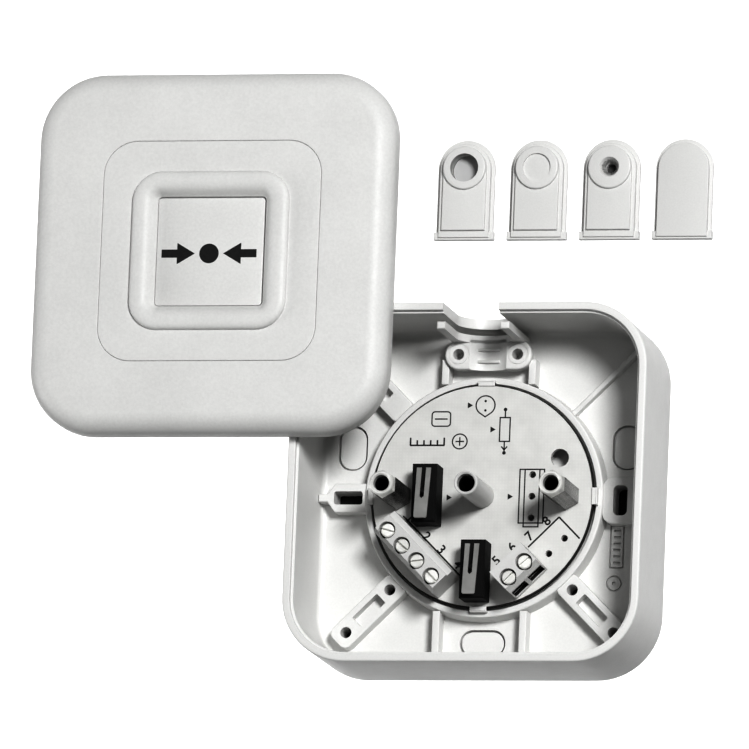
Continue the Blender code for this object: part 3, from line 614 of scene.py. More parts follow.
def laminate(name):
    """Solder-masked laminate: the glass weave shows faintly through a cloudy mask."""
    made, tree, coordinates = new_material(name)
    threads = [
        add_node(
            tree, "ShaderNodeTexWave", "Fac", {"bands_direction": direction},
            Vector=coordinates, Scale=420.0, Distortion=1.5, Detail=2.0,
        )
        for direction in ("X", "Y")
    ]
    weave = arithmetic(tree, "MULTIPLY", *threads)
    clouds = noise(tree, coordinates, 220.0, 4.0, 0.6)
    tone = arithmetic(tree, "MULTIPLY_ADD", weave, 0.15, spread(tree, clouds, 0.1, 0.6))
    set_shader(
        tree,
        Base_Color=two_tone(tree, tone, grey(0.61, 0.02), grey(0.74, 0.02)),
        Roughness=spread(tree, clouds, 0.34, 0.48),
        Normal=bump(tree, weave, 0.3, RELIEF),
    )
    return made


def ink(name, value=0.008):
    """Printing ink, a little uneven where the screen left it thin."""
    made, tree, coordinates = new_material(name)
    patches = noise(tree, coordinates, 1500.0, 3.0, 0.7)
    tone = spread(tree, patches, 0.0, 1.0)
    set_shader(
        tree,
        Base_Color=two_tone(tree, tone, grey(value), grey(value * 2.2)),
        Roughness=spread(tree, patches, 0.45, 0.6),
    )
    return made


def backdrop_or_painted_shade(name, value):
    """Studio paper with the slightest mottle; at low values it makes the sheets of painted shade."""
    made, tree, coordinates = new_material(name)
    clouds = noise(tree, coordinates, 6.0, 3.0)
    tone = spread(tree, clouds, 0.0, 1.0)
    set_shader(
        tree,
        Base_Color=two_tone(tree, tone, grey(value * 0.995), grey(value * 1.005)),
        Roughness=spread(tree, clouds, 0.85, 0.9),
    )
    return made


# Stage


def direction(azimuth, elevation):
    """From the object towards a viewer: azimuth 0 stands at -Y, 90 at +X."""
    flat = cos(radians(elevation))
    return Vector(
        (sin(radians(azimuth)) * flat, -cos(radians(azimuth)) * flat, sin(radians(elevation)))
    )


def make_camera():
    """A camera that looks at the target and is rolled about its own axis."""
    camera = linked("camera", bpy.data.cameras.new("camera"))
    towards = direction(CAMERA_AZIMUTH, CAMERA_ELEVATION)
    camera.location = CAMERA_TARGET + towards * CAMERA_DISTANCE
    up = Vector((0, 1, 0))
    up = (up - towards * up.dot(towards)).normalized()
    right = up.cross(towards)
    roll = radians(CAMERA_ROLL)
    across = right * cos(roll) + up * sin(roll)
    upward = towards.cross(across)
    camera.rotation_euler = Matrix((across, upward, towards)).transposed().to_euler()
    camera.data.lens = CAMERA_LENS
    camera.data.sensor_width = CAMERA_SENSOR
    camera.data.clip_end = CAMERA_REACH
    bpy.context.scene.camera = camera


def make_lamp(name, azimuth, elevation, size, power):
    lamp = linked(name, bpy.data.lights.new(name, "AREA"))
    lamp.data.shape = "DISK"
    lamp.data.size = size
    lamp.data.energy = power
    towards = direction(azimuth + 90.0, elevation)
    lamp.location = CAMERA_TARGET + towards * LAMP_DISTANCE
    lamp.rotation_euler = towards.to_track_quat("Z", "Y").to_euler()
    return lamp


def make_lights():
    """The lamps, a sky that is bright low down and overhead, and the view's contrast."""
    lamps = [make_lamp("key", *KEY), make_lamp("side_fill", *SIDE_FILL)]
    world = bpy.data.worlds.new("studio")
    bpy.context.scene.world = world
    world.use_nodes = True
    tree = world.node_tree
    place = add_node(tree, "ShaderNodeTexCoord", "Generated")
    ramp = tree.nodes.new("ShaderNodeValToRGB")
    put(tree, ramp.inputs["Fac"], add_node(tree, "ShaderNodeSeparateXYZ", "Z", Vector=place))
    stops = ramp.color_ramp.elements
    for place in (SKY_START, SKY_END):
        stops.new(place).color = grey(SKY)
    stops[0].color = grey(HORIZON)
    stops[-1].position = OVERHEAD_START
    stops[-1].color = grey(OVERHEAD)
    put(tree, tree.nodes["Background"].inputs["Color"], ramp.outputs["Color"])
    view = bpy.context.scene.view_settings
    view.view_transform = "Standard"
    view.gamma = CONTRAST_GAMMA
    view.exposure = CONTRAST_EXPOSURE
    return lamps


# A thin sheet on the floor, darker than it: painted shade.
def lay_painted_shade(name, outline, origin, material):
    sheet = stack(name, prism(outline, SHADE_SHEET_LOW, SHADE_SHEET_TOP), origin)
    sheet.data.materials.append(material)


def make_shade(material):
    """Painted shade: a near-black sheet on the ground under the back, seen through its holes."""
    outline = square(size_of("base_box")[0], BOX_RADIUS, SHADE_INSET)
    lay_painted_shade("painted_shade_below_box", outline, foot_of("base_box"), material)


def make_floor(material, lamps):
    """The floor is lit by a lamp of its own, so that it stays evenly pale under the object."""
    half = FLOOR_SIDE / 2
    floor = stack("studio_floor", prism(box((-half, -half), (half, half)), FLOOR_LOW, FLOOR_TOP))
    floor.data.materials.append(material)
    floor.visible_diffuse = False
    lamp = linked("floor_lamp", bpy.data.lights.new("floor_lamp", "SUN"))
    lamp.data.energy = FLOOR_SUN
    only_floor = bpy.data.collections.new("only_floor")
    only_floor.objects.link(floor)
    lamp.light_linking.receiver_collection = only_floor
    lamp.light_linking.blocker_collection = only_floor
    all_but_floor = bpy.data.collections.new("all_but_floor")
    all_but_floor.objects.link(floor)
    all_but_floor.collection_objects[0].light_linking.link_state = "EXCLUDE"
    for other in lamps:
        other.light_linking.receiver_collection = all_but_floor


# Base box


def foot_of(node):
    """The middle of the underside of a node's box."""
    low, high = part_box(node)
    return Vector(((low[0] + high[0]) / 2, (low[1] + high[1]) / 2, low[2]))


def size_of(node):
    """The box of a node from side to side, in the units of this script."""
    low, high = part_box(node)
    return [(end - start) / MM for start, end in zip(low, high)]


def wall_loops(side, depth):
    """Up the outside, over the rim and its lip, and down the inside to the floor."""
    profile = eased(
        (
            (4.0, 0.0, 0.0), (0.0, 0.0, 0.8), (0.0, depth, 0.45),
            (WALL - LIP_WIDTH, depth, 0.2), (WALL - LIP_WIDTH, depth - LIP_DEPTH, 0.12),
            (WALL, depth - LIP_DEPTH, 0.15), (WALL, FLOOR, 1.4), (6.0, FLOOR, 0.0),
        )
    )
    return [(square(side, BOX_RADIUS, inset), z) for inset, z in profile]


def entry_tool(origin, depth, y_low, y_high):
    """A round-bottomed slot along Y, open at the rim."""
    radius = ENTRY_WIDTH / 2
    axis_z = ENTRY_BOTTOM + radius
    points = [(-radius, depth + CLEAR)]
    for step in range(SMALL_SIDES + 1):
        turn = pi + pi * step / SMALL_SIDES
        points.append((radius * cos(turn), axis_z + radius * sin(turn)))
    points.append((radius, depth + CLEAR))
    bm = bmesh.new()
    rows = [[bm.verts.new((x * MM, y * MM, z * MM)) for x, z in points] for y in (y_low, y_high)]
    bm.faces.new(rows[0])
    bm.faces.new(reversed(rows[1]))
    bridge(bm, rows[0], rows[1])
    return finished("entry_tool", bm, origin)


def floor_holes():
    """The cuts in the floor and its pads: fixing slots, and each bar's holes and window."""
    shapes = [
        (rounded(*LEFT_SLOT, 5), BELOW, PADS_OVER),
        (rounded(*RIGHT_SLOT, 6), BELOW, PADS_OVER),
    ]
    start, end, width = WINDOW
    for degrees, reaches in BARS:
        window = rounded(end - start, width, 0.25, ((start + end) / 2, 0.0), 3)
        shapes.append((turned(window, degrees), WINDOW_FLOOR, PADS_OVER))
        for reach in reaches:
            hole = circle(BAR_HOLE_RADIUS, (reach, 0.0), SMALL_SIDES)
            shapes.append((turned(hole, degrees), BELOW, PADS_OVER))
    return shapes


def mould_marks(origin):
    """The tool for plain sunk marks on the floor at the right, where a moulder dates a mould."""
    low, high = FLOOR - MARK_DEPTH, FLOOR + CLEAR
    x, y = MARK_PLACE
    width, length = MARK_SIZE
    dial = (x + DIAL_OFFSET[0], y + DIAL_OFFSET[1])
    outer, inner, hub = [circle(radius, dial, sides) for radius, sides in DIAL_RINGS]
    bm = bmesh.new()
    add_frame(bm, tube(outer, inner, low, high))
    add_stack(bm, prism(hub, low, high))
    outer = rounded(width, length, 0.3, MARK_PLACE, 3)
    inner = rounded(width - 2 * MARK_LINE, length - 2 * MARK_LINE, 0.15, MARK_PLACE, 3)
    add_frame(bm, tube(outer, inner, low, high))
    for row in range(MARK_ROWS):
        place = (x, y + (row - (MARK_ROWS - 1) / 2) * MARK_PITCH)
        add_stack(bm, prism(rounded(*MARK_BAR, place, 3), low, high))
    return finished("mark_tool", bm, origin)


def make_shell(origin, side, depth, material):
    """The box itself, with its knock-outs, mould marks, holes and cable entry."""
    shell = stack("base_shell", wall_loops(side, depth), origin)
    above = FLOOR + CLEAR
    for width, length, radius, centre in KNOCK_OUTS:
        outline = rounded(width, length, radius, centre, 8)
        island = (width - 2 * MOAT_WIDTH, length - 2 * MOAT_WIDTH, radius - MOAT_WIDTH)
        moat = tube(outline, rounded(*island, centre, 8), FLOOR - MOAT_DEPTH, above)
        cut(shell, ((outline, FLOOR - KNOCK_OUT_DEPTH, above),), origin)
        cut_with(shell, frame_of("moat", moat, origin))
    cut_with(shell, mould_marks(origin))
    cut(shell, floor_holes(), origin)
    wall = side / 2
    cut_with(shell, entry_tool(origin, depth, wall - WALL - ENTRY_RUN, wall + CLEAR))
    stands_for(shell, "base", "housing", material, "base_box")


def make_ring(origin, material):
    """The round wall that the board lies in, with a groove behind the board's ledge."""
    profile = eased(
        (
            (RING_FOOT, FLOOR - SINK, 0.0), (RING_FOOT, FLOOR, 0.0), (RING_OUTER, RING_TOP, 0.35),
            (RING_INNER, RING_TOP, 0.15), (RING_INNER, RING_GROOVE_LOW, 0.0),
            (RING_GROOVE_INNER, RING_GROOVE_LOW, 0.0), (RING_GROOVE_INNER, RING_LEDGE_TOP, 0.1),
            (RING_LEDGE, RING_LEDGE_TOP, 0.2), (RING_LEDGE, FLOOR - SINK, 0.0),
        )
    )
    loops = [(circle(radius, sides=128), z) for radius, z in profile]
    ring = frame_of("board_ring", loops, origin)
    stands_for(ring, "base", "housing", material, "base_box")


def floor_ribs(origin, side, low):
    """The four long ribs, above and below the board ring."""
    wall = side / 2 - WALL + 0.4
    half = RIB_WIDTH / 2
    inner = RING_OUTER - RIB_TUCK
    parts = []
    for label, x in (("left", -RIB_X), ("right", RIB_X)):
        lower = box((x - half, -wall), (x + half, -inner))
        upper = box((x - half, inner), (x + half, SADDLE_Y - 1.0))
        parts.append(slab(f"rib_lower_{label}", lower, low, RIB_TOP, origin))
        parts.append(slab(f"rib_upper_{label}", upper, low, RIB_TOP, origin))
    return parts


def floor_pads(origin, low):
    """The fixing bars and the rib on the diagonals, the left bracket and the right boss."""
    middle, length = (BAR_START + BAR_END) / 2, BAR_END - BAR_START
    parts = []
    for index, (degrees, _) in enumerate(BARS):
        outline = turned(rounded(length, BAR_WIDTH, BAR_WIDTH * 0.3, (middle, 0.0), 6), degrees)
        bar = slab(f"fixing_bar_{index + 1}", outline, low, PAD_TOP, origin)
        cut(bar, floor_holes(), origin)
        parts.append(bar)
    rib = turned(box((BAR_START, -DIAGONAL_HALF), (DIAGONAL_END, DIAGONAL_HALF)), 45.0)
    parts.append(slab("diagonal_rib", rib, low, DIAGONAL_TOP, origin))
    bracket = slab("left_bracket", mirrored(BRACKET), low, PAD_TOP, origin)
    boss = slab("right_boss", rounded(*RIGHT_BOSS, 6), low, PAD_TOP, origin)
    for pad in (bracket, boss):
        cut(pad, floor_holes(), origin)
        parts.append(pad)
    return parts


def board_lugs(origin):
    """Four lugs on the ring: a heel beside the board, and a nose that reaches over it."""
    half = LUG_WIDTH / 2
    parts = []
    for index, degrees in enumerate((0.0, 90.0, 180.0, 270.0)):
        heel = turned(box((RING_INNER, -half), (RING_INNER + 0.5, half)), degrees)
        nose = turned(box((LUG_REACH, -half), (RING_INNER + 0.4, half)), degrees)
        parts.append(slab(f"lug_heel_{index + 1}", heel, RING_TOP - SINK, LUG_TOP, origin, 0.2))
        parts.append(slab(f"lug_nose_{index + 1}", nose, BOARD_TOP + 0.1, LUG_TOP, origin, 0.15))
    return parts


def make_mouldings(origin, side, material):
    """Ribs, bars, pads and lugs that stand on the floor inside."""
    low = FLOOR - SINK
    for part in floor_ribs(origin, side, low) + floor_pads(origin, low) + board_lugs(origin):
        stands_for(part, "base", "housing", material, "base_box")


def make_saddle(origin, side, depth, material):
    """The cable's bed: a rounded plate with two screw holes, a trough with ridges, and guides."""
    low = FLOOR - SINK
    outline = rounded(SADDLE_WIDTH, SADDLE_LENGTH, SADDLE_LENGTH / 2 - 0.1, (0, SADDLE_Y), 10)
    plate = slab("cable_saddle", outline, low, SADDLE_TOP, origin, 0.5, SADDLE_UNDERCUT)
    centres = [(sign * SADDLE_HOLE_X, SADDLE_Y) for sign in (-1, 1)]
    holes = [
        (circle(SADDLE_HOLE, centre, SMALL_SIDES), FLOOR + 0.2, SADDLE_OVER) for centre in centres
    ]
    cut(plate, holes, origin)
    outer, inner, sunk = SADDLE_GROOVE
    for centre in centres:
        groove = tube(circle(outer, centre), circle(inner, centre), SADDLE_TOP - sunk, SADDLE_OVER)
        cut_with(plate, frame_of("groove", groove, origin))
    high_y = side / 2 - WALL - INSERT_SLOT
    half = GUIDE_WIDTH / 2
    outline = box((-half, high_y - GUIDE_THICK), (half, high_y))
    guides = slab("insert_guides", outline, low, GUIDE_TOP, origin, 0.4)
    for part in (plate, guides):
        cut_with(part, entry_tool(origin, depth, 28.0, high_y + CLEAR))
        stands_for(part, "base", "housing", material, "base_box")
    half_x, half_y = RIDGE_HALF
    for index, offset in enumerate(RIDGE_OFFSETS):
        y = SADDLE_Y + offset
        outline = box((-half_x, y - half_y), (half_x, y + half_y))
        ridge = slab(f"saddle_ridge_{index + 1}", outline, RIDGE_LOW, RIDGE_TOP, origin)
        stands_for(ridge, "base", "housing", material, "base_box")


def make_base(material):
    origin = foot_of("base_box")
    side, _, depth = size_of("base_box")
    make_shell(origin, side, depth, material)
    make_ring(origin, material)
    make_mouldings(origin, side, material)
    make_saddle(origin, side, depth, material)


# Cover


def cover_origin():
    return foot_of("cover_shell")


def make_cover_shell(material):
    """One closed moulding: out over the shoulder, down into the well, and back underneath."""
    side = size_of("cover_shell")[0]

    def outline(inset):
        return square(side, COVER_RADIUS, inset)

    def well(out):
        return square(WELL_SIDE, WELL_RADIUS, -out)

    roof = COVER_HEIGHT - COVER_WALL
    stem = circle(STEM_HOLE, sides=4 * (CORNER_STEPS + 1))
    stem = turned(stem, -180.0 / len(stem))
    loops = [(well(WELL_WALL), 0.0), (well(WELL_WALL), roof)]
    inside = eased(((10.0, roof, 0.0), (COVER_WALL, roof, 2.4), (COVER_WALL, 0.0, 0.0)))
    loops += [(outline(inset), z) for inset, z in inside]
    outside = eased(
        ((COVER_WALL - 0.2, 0.0, 0.0), (0.0, 0.0, 0.3), (0.0, COVER_HEIGHT, COVER_SHOULDER),
         (10.0, COVER_HEIGHT, 0.0)), 12,
    )
    loops += [(outline(inset), z) for inset, z in outside]
    rim = eased(
        ((1.0, COVER_HEIGHT, 0.0), (0.0, COVER_HEIGHT, 0.18),
         (0.0, WELL_FLOOR, 0.4), (-2.0, WELL_FLOOR, 0.0))
    )
    loops += [(well(out), z) for out, z in rim]
    loops += [(stem, WELL_FLOOR), (stem, 0.0)]
    shell = frame_of("cover_moulding", loops, cover_origin(), 50.0)
    holes = [
        (circle(COVER_SCREW_HOLE, (sign * COVER_SCREW_X, 0.0), SMALL_SIDES), BELOW, WELL_FLOOR + CLEAR)
        for sign in (-1, 1)
    ]
    cut(shell, holes, cover_origin())
    stands_for(shell, "cover", "cover", material, "cover_shell")


def bead_section():
    """(inset from the bead's outer edge, height over the plate): steep outside, round inside."""
    return (
        (0.0, 0.0), (0.05, 0.4), (0.18, 0.75), (0.42, 1.05), (0.8, 1.28), (1.3, 1.43),
        (1.9, BEAD_RISE), (2.5, 1.49), (3.1, 1.4), (3.6, 1.24), (4.1, 0.98), (4.55, 0.6),
        (4.95, 0.12), (5.3, -0.38), (5.58, -0.78), (5.7, -0.9), (5.78, -0.98), (5.84, -1.2),
        (5.9, -1.6),
    )


def make_centre_plate(material):
    """The plate in the well, with a bead round the button's opening and a collar behind it."""
    low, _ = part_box("centre_plate")
    side = WELL_SIDE - 2 * PLATE_GAP
    face = COVER_HEIGHT
    plate_low = face - PLATE_THICK
    collar_low = (low[2] - cover_origin().z) / MM
    radius = WELL_RADIUS - PLATE_GAP

    loops = [(square(COLLAR_OUTER, 2.0), collar_low), (square(COLLAR_OUTER, 2.0), plate_low)]
    loops += [(square(side, radius), plate_low)]
    edge = eased(((0.0, plate_low, 0.0), (0.0, face, 0.18), (2.0, face, 0.0)))
    loops += [(square(side, radius, inset), z) for inset, z in edge[1:]]
    width = (BEAD_SIDE - OPENING_SIDE) / 2
    for inset, rise in bead_section():
        share = inset / width
        corner = BEAD_RADIUS - inset - (BEAD_RADIUS - width - OPENING_RADIUS) * share
        loops.append((square(BEAD_SIDE - 2 * inset, corner), face + rise))
    loops += [
        (square(OPENING_SIDE, OPENING_RADIUS), plate_low),
        (square(COLLAR_INNER, 0.8), plate_low),
        (square(COLLAR_INNER, 0.8), collar_low),
    ]
    plate = frame_of("bezel_plate", loops, cover_origin(), 50.0)
    stands_for(plate, "plate", "cover", material, "centre_plate")


def button_top():
    """Height of the button's face over the cover's foot."""
    return (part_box("alarm_button")[1][2] - cover_origin().z) / MM


def make_button_face(material):
    """The textured cap that fills the opening to a hair's breadth."""
    top = button_top()
    side = OPENING_SIDE - 2 * FACE_GAP
    outline = rounded(side, side, 0.8, (-FACE_SHIFT, -FACE_SHIFT))
    face = slab("button_face", outline, top - FACE_THICK, top + FACE_LIFT, cover_origin(), 0.12)
    stands_for(face, "button", "cover", material)


def make_button_spring(material):
    """The return spring, finer than the CAD's."""
    foot = foot_of("button_spring")
    height = size_of("button_spring")[2]
    rise = height - 2 * SPRING_WIRE
    steps = int(SPRING_TURNS * ROUND_SIDES)
    slope = rise / (2 * pi * SPRING_RADIUS * SPRING_TURNS)
    bm = bmesh.new()
    rows = []
    for step in range(steps + 1):
        turn = 2 * pi * step / ROUND_SIDES
        outward = Vector((cos(turn), sin(turn), 0.0))
        upward = outward.cross(Vector((-sin(turn), cos(turn), slope)).normalized())
        centre = outward * SPRING_RADIUS + Vector((0.0, 0.0, SPRING_WIRE + rise * step / steps))
        section = circle(SPRING_WIRE, sides=SPRING_SIDES)
        ring = [centre + outward * x + upward * y for x, y in section]
        rows.append([bm.verts.new(place * MM) for place in ring])
    for first, second in zip(rows, rows[1:]):
        bridge(bm, first, second)
    bm.faces.new(rows[0])
    bm.faces.new(reversed(rows[-1]))
    spring = finished("return_spring", bm, foot, 60.0)
    stands_for(spring, "cover", "spring_steel", material, "button_spring")
    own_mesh(spring)


def print_patch(bm, outline, z):
    """Ink inside an outline, on a surface at height z."""
    add_stack(bm, prism(outline, z - INK_SINK, z + INK_THICK))


def make_button_print(material):
    """Two arrows that point at a spot: press here."""
    top = button_top() + FACE_LIFT
    bm = bmesh.new()
    print_patch(bm, circle(SPOT_RADIUS, PRINT_SHIFT, SMALL_SIDES), top)
    arrow = [
        (ARROW_TAIL, -SHAFT_HALF), (ARROW_NECK, -SHAFT_HALF), (ARROW_NECK, -HEAD_HALF),
        (ARROW_TIP, 0.0),
        (ARROW_NECK, HEAD_HALF), (ARROW_NECK, SHAFT_HALF), (ARROW_TAIL, SHAFT_HALF),
    ]
    for degrees in (0.0, 180.0):
        print_patch(bm, moved(turned(arrow, degrees), PRINT_SHIFT), top)
    stands_for(finished("button_print", bm, cover_origin()), "button", "cover", material)


# Board print


def ribbon(bm, points, width, z, closed=False):
    """A thin printed line along points."""
    left, right = [], []
    count = len(points)
    places = [Vector(point) for point in points]
    ways = [(places[(index + 1) % count] - places[index]).normalized() for index in range(count)]
    for index, here in enumerate(places):
        ahead = ways[index] if closed or index < count - 1 else ways[index - 1]
        back = ways[index - 1] if closed or index else ahead
        bisector = (back + ahead).normalized()
        side = Vector((-bisector.y, bisector.x)) * width / 2 / max(0.35, sqrt((1 + back.dot(ahead)) / 2))
        left.append(tuple(here + side))
        right.append(tuple(here - side))
    if closed:
        add_frame(bm, tube(right, left, z - INK_SINK, z + INK_THICK))
    else:
        print_patch(bm, right + left[::-1], z)


def spot(bm, centre, radius, z):
    print_patch(bm, circle(radius, centre, 16), z)


def numeral(name, text, place, degrees, z, material):
    """A printed number, read along a row of terminals that is turned by degrees."""
    curve = bpy.data.curves.new(name, "FONT")
    curve.body = text
    curve.size = NUMBER_HEIGHT * 1.4 * MM
    curve.align_x = "CENTER"
    curve.align_y = "CENTER"
    curve.extrude = INK_THICK / 2 * MM
    curve.offset = STROKE * MM
    curve.resolution_u = 6
    source = linked(name, curve)
    mesh = evaluated_mesh(source)
    bpy.data.objects.remove(source, do_unlink=True)
    bpy.data.curves.remove(curve)
    turn = Matrix.Rotation(radians(degrees), 4, "Z")
    middle = Vector((*place, z + INK_THICK / 2)) * MM
    mesh.transform(Matrix.Translation(middle) @ turn)
    stands_for(linked(name, mesh), "base", "board", material)


def hexagon(across, sides=48):
    """A hexagon with its flats left and right, drawn with many points so that it can turn round."""
    points = []
    for side in range(sides):
        angle = 2 * pi * side / sides
        from_flat = (angle + pi / 6) % (pi / 3) - pi / 6
        reach = across / 2 / cos(from_flat)
        points.append((reach * cos(angle), reach * sin(angle)))
    return points


def make_post(node, outline, shoulder, bore, slot, looks):
    """A post in three pieces: the drawn bar, its turned crown, and the thread in its bore. On the hex
    posts the bar is near-black with streaks, painted shade and reflection, and the threads are
    near-black, painted shade.
    """
    bar_look, crown_look, thread_look = looks
    start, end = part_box(node)
    axis = ((start[0] + end[0]) / 2, (start[1] + end[1]) / 2, 0.0)
    low, top = start[2] / MM, end[2] / MM
    neck = top - CROWN_HEIGHT

    def ring(radius):
        return circle(radius, sides=len(outline))

    bar = frame_of(f"{node}_bar", tube(outline, ring(bore), low, neck), axis, 30.0)
    stands_for(bar, "base", slot, bar_look, node)
    loops = [
        (outline, neck), (ring(shoulder), top - CROWN_EDGE), (ring(shoulder - CROWN_EDGE), top),
        (ring(bore + BORE_BEVEL), top), (ring(bore), top - BORE_BEVEL), (ring(bore), neck),
    ]
    stands_for(frame_of(f"{node}_crown", loops, axis, 30.0), "base", slot, crown_look)
    foot = low + THREAD_FOOT
    loops = list(prism(ring(bore - THREAD_GAP), foot, neck))
    for turn in range(int((neck - foot) / THREAD_PITCH)):
        height = neck - turn * THREAD_PITCH
        loops.append((ring(bore - THREAD_CREST), height - THREAD_GAP))
        loops.append((ring(bore - THREAD_DEPTH), height - THREAD_PITCH / 2))
    stands_for(frame_of(f"{node}_thread", loops, axis, 20.0), "base", slot, thread_look)


def make_entry_shade(number, material):
    """Painted shade: a black lining in a wire entry, in front of its clamp cage."""
    row_turn = radians(-45.0 if number <= 4 else 45.0)
    screw = foot_of(f"terminal_screw_{number}") / MM
    x = (Matrix.Rotation(-row_turn, 4, "Z") @ screw).x
    outer = box((x - ENTRY_HALF, ENTRY_LOW), (x + ENTRY_HALF, ENTRY_HIGH))
    inner = shrunk(outer, THROAT_WALL)
    throat = frame_of(f"entry_painted_shade_{number}", tube(outer, inner, THROAT_BACK, THROAT_FRONT))
    throat.data.transform(Matrix.Rotation(row_turn, 4, "Z") @ Matrix.Rotation(pi / 2, 4, "X"))
    stands_for(throat, "base", "terminal", material)


def make_board_edge(material):
    """A near-black band that hugs the board's cut edge in the gap round it: painted shade in that gap.
    """
    loops = eased(
        (
            (BOARD_RADIUS, BOARD_TOP - BOARD_THICK, 0.0),
            (BOARD_RADIUS + BOARD_EDGE, BOARD_TOP - BOARD_THICK, 0.05),
            (BOARD_RADIUS + BOARD_EDGE, BOARD_TOP - 0.05, 0.08), (BOARD_RADIUS, BOARD_TOP - 0.05, 0.0),
        )
    )
    edge = frame_of("board_edge", [(circle(radius, sides=160), z) for radius, z in loops])
    stands_for(edge, "base", "board", material)


def print_lamp(bm, z):
    """The indicator's outline: round above and pointed below, with its two pins."""
    x, y, radius = LAMP_SYMBOL
    head = [
        (x + radius * cos(radians(turn)), y + radius * sin(radians(turn)))
        for turn in range(-50, 231, 14)
    ]
    ribbon(bm, head + [(x, y - 1.2 * radius)], LINE, z, True)
    for pin in (1.0, -1.2):
        spot(bm, (x, y + pin), 0.28, z)


def print_diode(bm, z):
    """A long part with a lead at each end, and an arrow on the lower one."""
    x, low, high = 4.7, 12.9, 18.5
    ribbon(bm, box((x - 1.2, low), (x + 1.2, high)), LINE, z, True)
    ribbon(bm, ((x, high), (x, high + 1.6)), LINE, z)
    ribbon(bm, ((x, low), (x, low - 2.3)), LINE, z)
    ribbon(bm, ((x - 0.7, low - 1.2), (x, low - 2.0), (x + 0.7, low - 1.2)), LINE, z)
    spot(bm, (x, high + 1.9), 0.42, z)
    spot(bm, (x, low - 2.7), 0.42, z)


def print_signs(bm, z):
    """A minus in a round frame, a plus in a circle, and a comb."""
    x, y = -10.5, 18.2
    ribbon(bm, rounded(4.4, 3.4, 0.7, (x, y), 4), LINE, z, True)
    ribbon(bm, ((x - 1.5, y), (x + 1.5, y)), LINE, z)
    x, y = -5.9, 12.9
    ribbon(bm, circle(1.75, (x, y), 24), LINE, z, True)
    ribbon(bm, ((x - 1.0, y), (x + 1.0, y)), LINE, z)
    ribbon(bm, ((x, y - 1.0), (x, y + 1.0)), LINE, z)
    foot = 12.0
    for index in range(6):
        x = -17.6 + 1.6 * index
        ribbon(bm, ((x, foot), (x, foot + (1.8 if index % 5 == 0 else 1.2))), BOLD_LINE, z)
    ribbon(bm, ((-17.7, foot), (-9.5, foot)), BOLD_LINE, z)


def print_part_frames(bm, z):
    """The frame round the posts' screws, and the lines behind the two rows of terminals."""
    ribbon(bm, box((8.7, -6.3), (14.5, 6.3)), LINE, z, True)
    ribbon(bm, box((9.9, -7.2), (13.4, 6.3)), LINE, z, True)
    for turn, start, end in ((-45.0, -9.9, 10.6), (45.0, -0.5, 9.5)):
        ribbon(bm, turned(((start, TERMINAL_ROW), (end, TERMINAL_ROW)), turn), BOLD_LINE, z)
    ribbon(bm, turned(((9.5, TERMINAL_ROW), (9.5, -23.6)), 45.0), BOLD_LINE, z)


def print_terminal_numbers(z, material):
    """The numbers 1 to 8: each row's turn, its middle, and (number, pitches from it, how far out)."""
    rows = (
        (-45.0, 0.3, (("1", -1.7, 16.2), ("2", -0.55, 15.9), ("3", 0.4, 15.5), ("4", 1.45, 15.1))),
        (45.0, -0.6, (("5", -1.45, 13.5), ("6", -0.5, 13.8), ("7", 0.4, 14.8), ("8", 1.45, 15.1))),
    )
    for turn, middle, marks in rows:
        for text, pole, out in marks:
            place = turned(((middle + pole * TERMINAL_PITCH, -out),), turn)[0]
            numeral(f"board_number_{text}", text, place, turn, z, material)


def make_board_print(material):
    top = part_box("circuit_board")[1][2] / MM
    bm = bmesh.new()
    print_lamp(bm, top)
    print_diode(bm, top)
    print_signs(bm, top)
    print_part_frames(bm, top)
    for x, y in ((-7.9, -0.3), (6.6, -0.1), (-3.7, 21.4), (1.9, 15.7)):
        print_patch(bm, [(x - 0.6, y - 0.7), (x + 0.6, y), (x - 0.6, y + 0.7)], top)
    stands_for(finished("board_print", bm), "base", "board", material)
    print_terminal_numbers(top, material)


# Inserts


def insert_parts(node, origin, width, height):
    """Flange, neck and foot of a slide-in plate; all but the blank one have a pad and a collar."""
    bottom, top = -height / 2, height / 2
    flange = arch(width - 2 * FLANGE_INSET, bottom + FOOT_HEIGHT, top)
    neck = arch(NECK_WIDTH, bottom + 0.5, top - 1.1)
    foot = box((-width / 2, bottom), (width / 2, bottom + FOOT_HEIGHT + 0.2))
    parts = [
        slab(f"{node}_flange", flange, *FLANGE, origin, FLANGE_EDGE, INSERT_UNDERCUT),
        slab(f"{node}_neck", neck, *NECK, origin, INSERT_EDGE),
        slab(f"{node}_foot", foot, *INSERT_FOOT, origin, INSERT_EDGE, INSERT_UNDERCUT),
    ]
    if node != "insert_blank":
        pad = arch(INSERT_PAD_WIDTH, bottom + 2.1, top - 1.95)
        collar = circle(COLLAR_RADIUS, (0.0, top - HUB_DROP))
        parts.append(slab(f"{node}_pad", pad, *INSERT_PAD, origin, INSERT_EDGE))
        parts.append(slab(f"{node}_collar", collar, *COLLAR, origin, COLLAR_EDGE))
    return parts


def open_hub(node, part, hub, origin):
    """What is open in each kind of insert: a wide bore, a funnel with a small bore, a dimple."""
    if node == "insert_large_bore":
        cut(part, ((circle(LARGE_BORE, hub), BELOW, HUB_OVER),), origin)
    if node == "insert_small_bore":
        cut(part, ((circle(SMALL_BORE, hub, SMALL_SIDES), BELOW, HUB_OVER),), origin)
        if part.name.endswith(("neck", "pad", "collar")):
            loops = [(circle(radius, hub), z) for radius, z in FUNNEL]
            cut_with(part, stack("funnel", loops, origin))
    if node == "insert_knock_out" and part.name.endswith("collar"):
        radius, bottom = DIMPLE
        cut(part, ((circle(radius, hub), bottom, HUB_OVER),), origin)


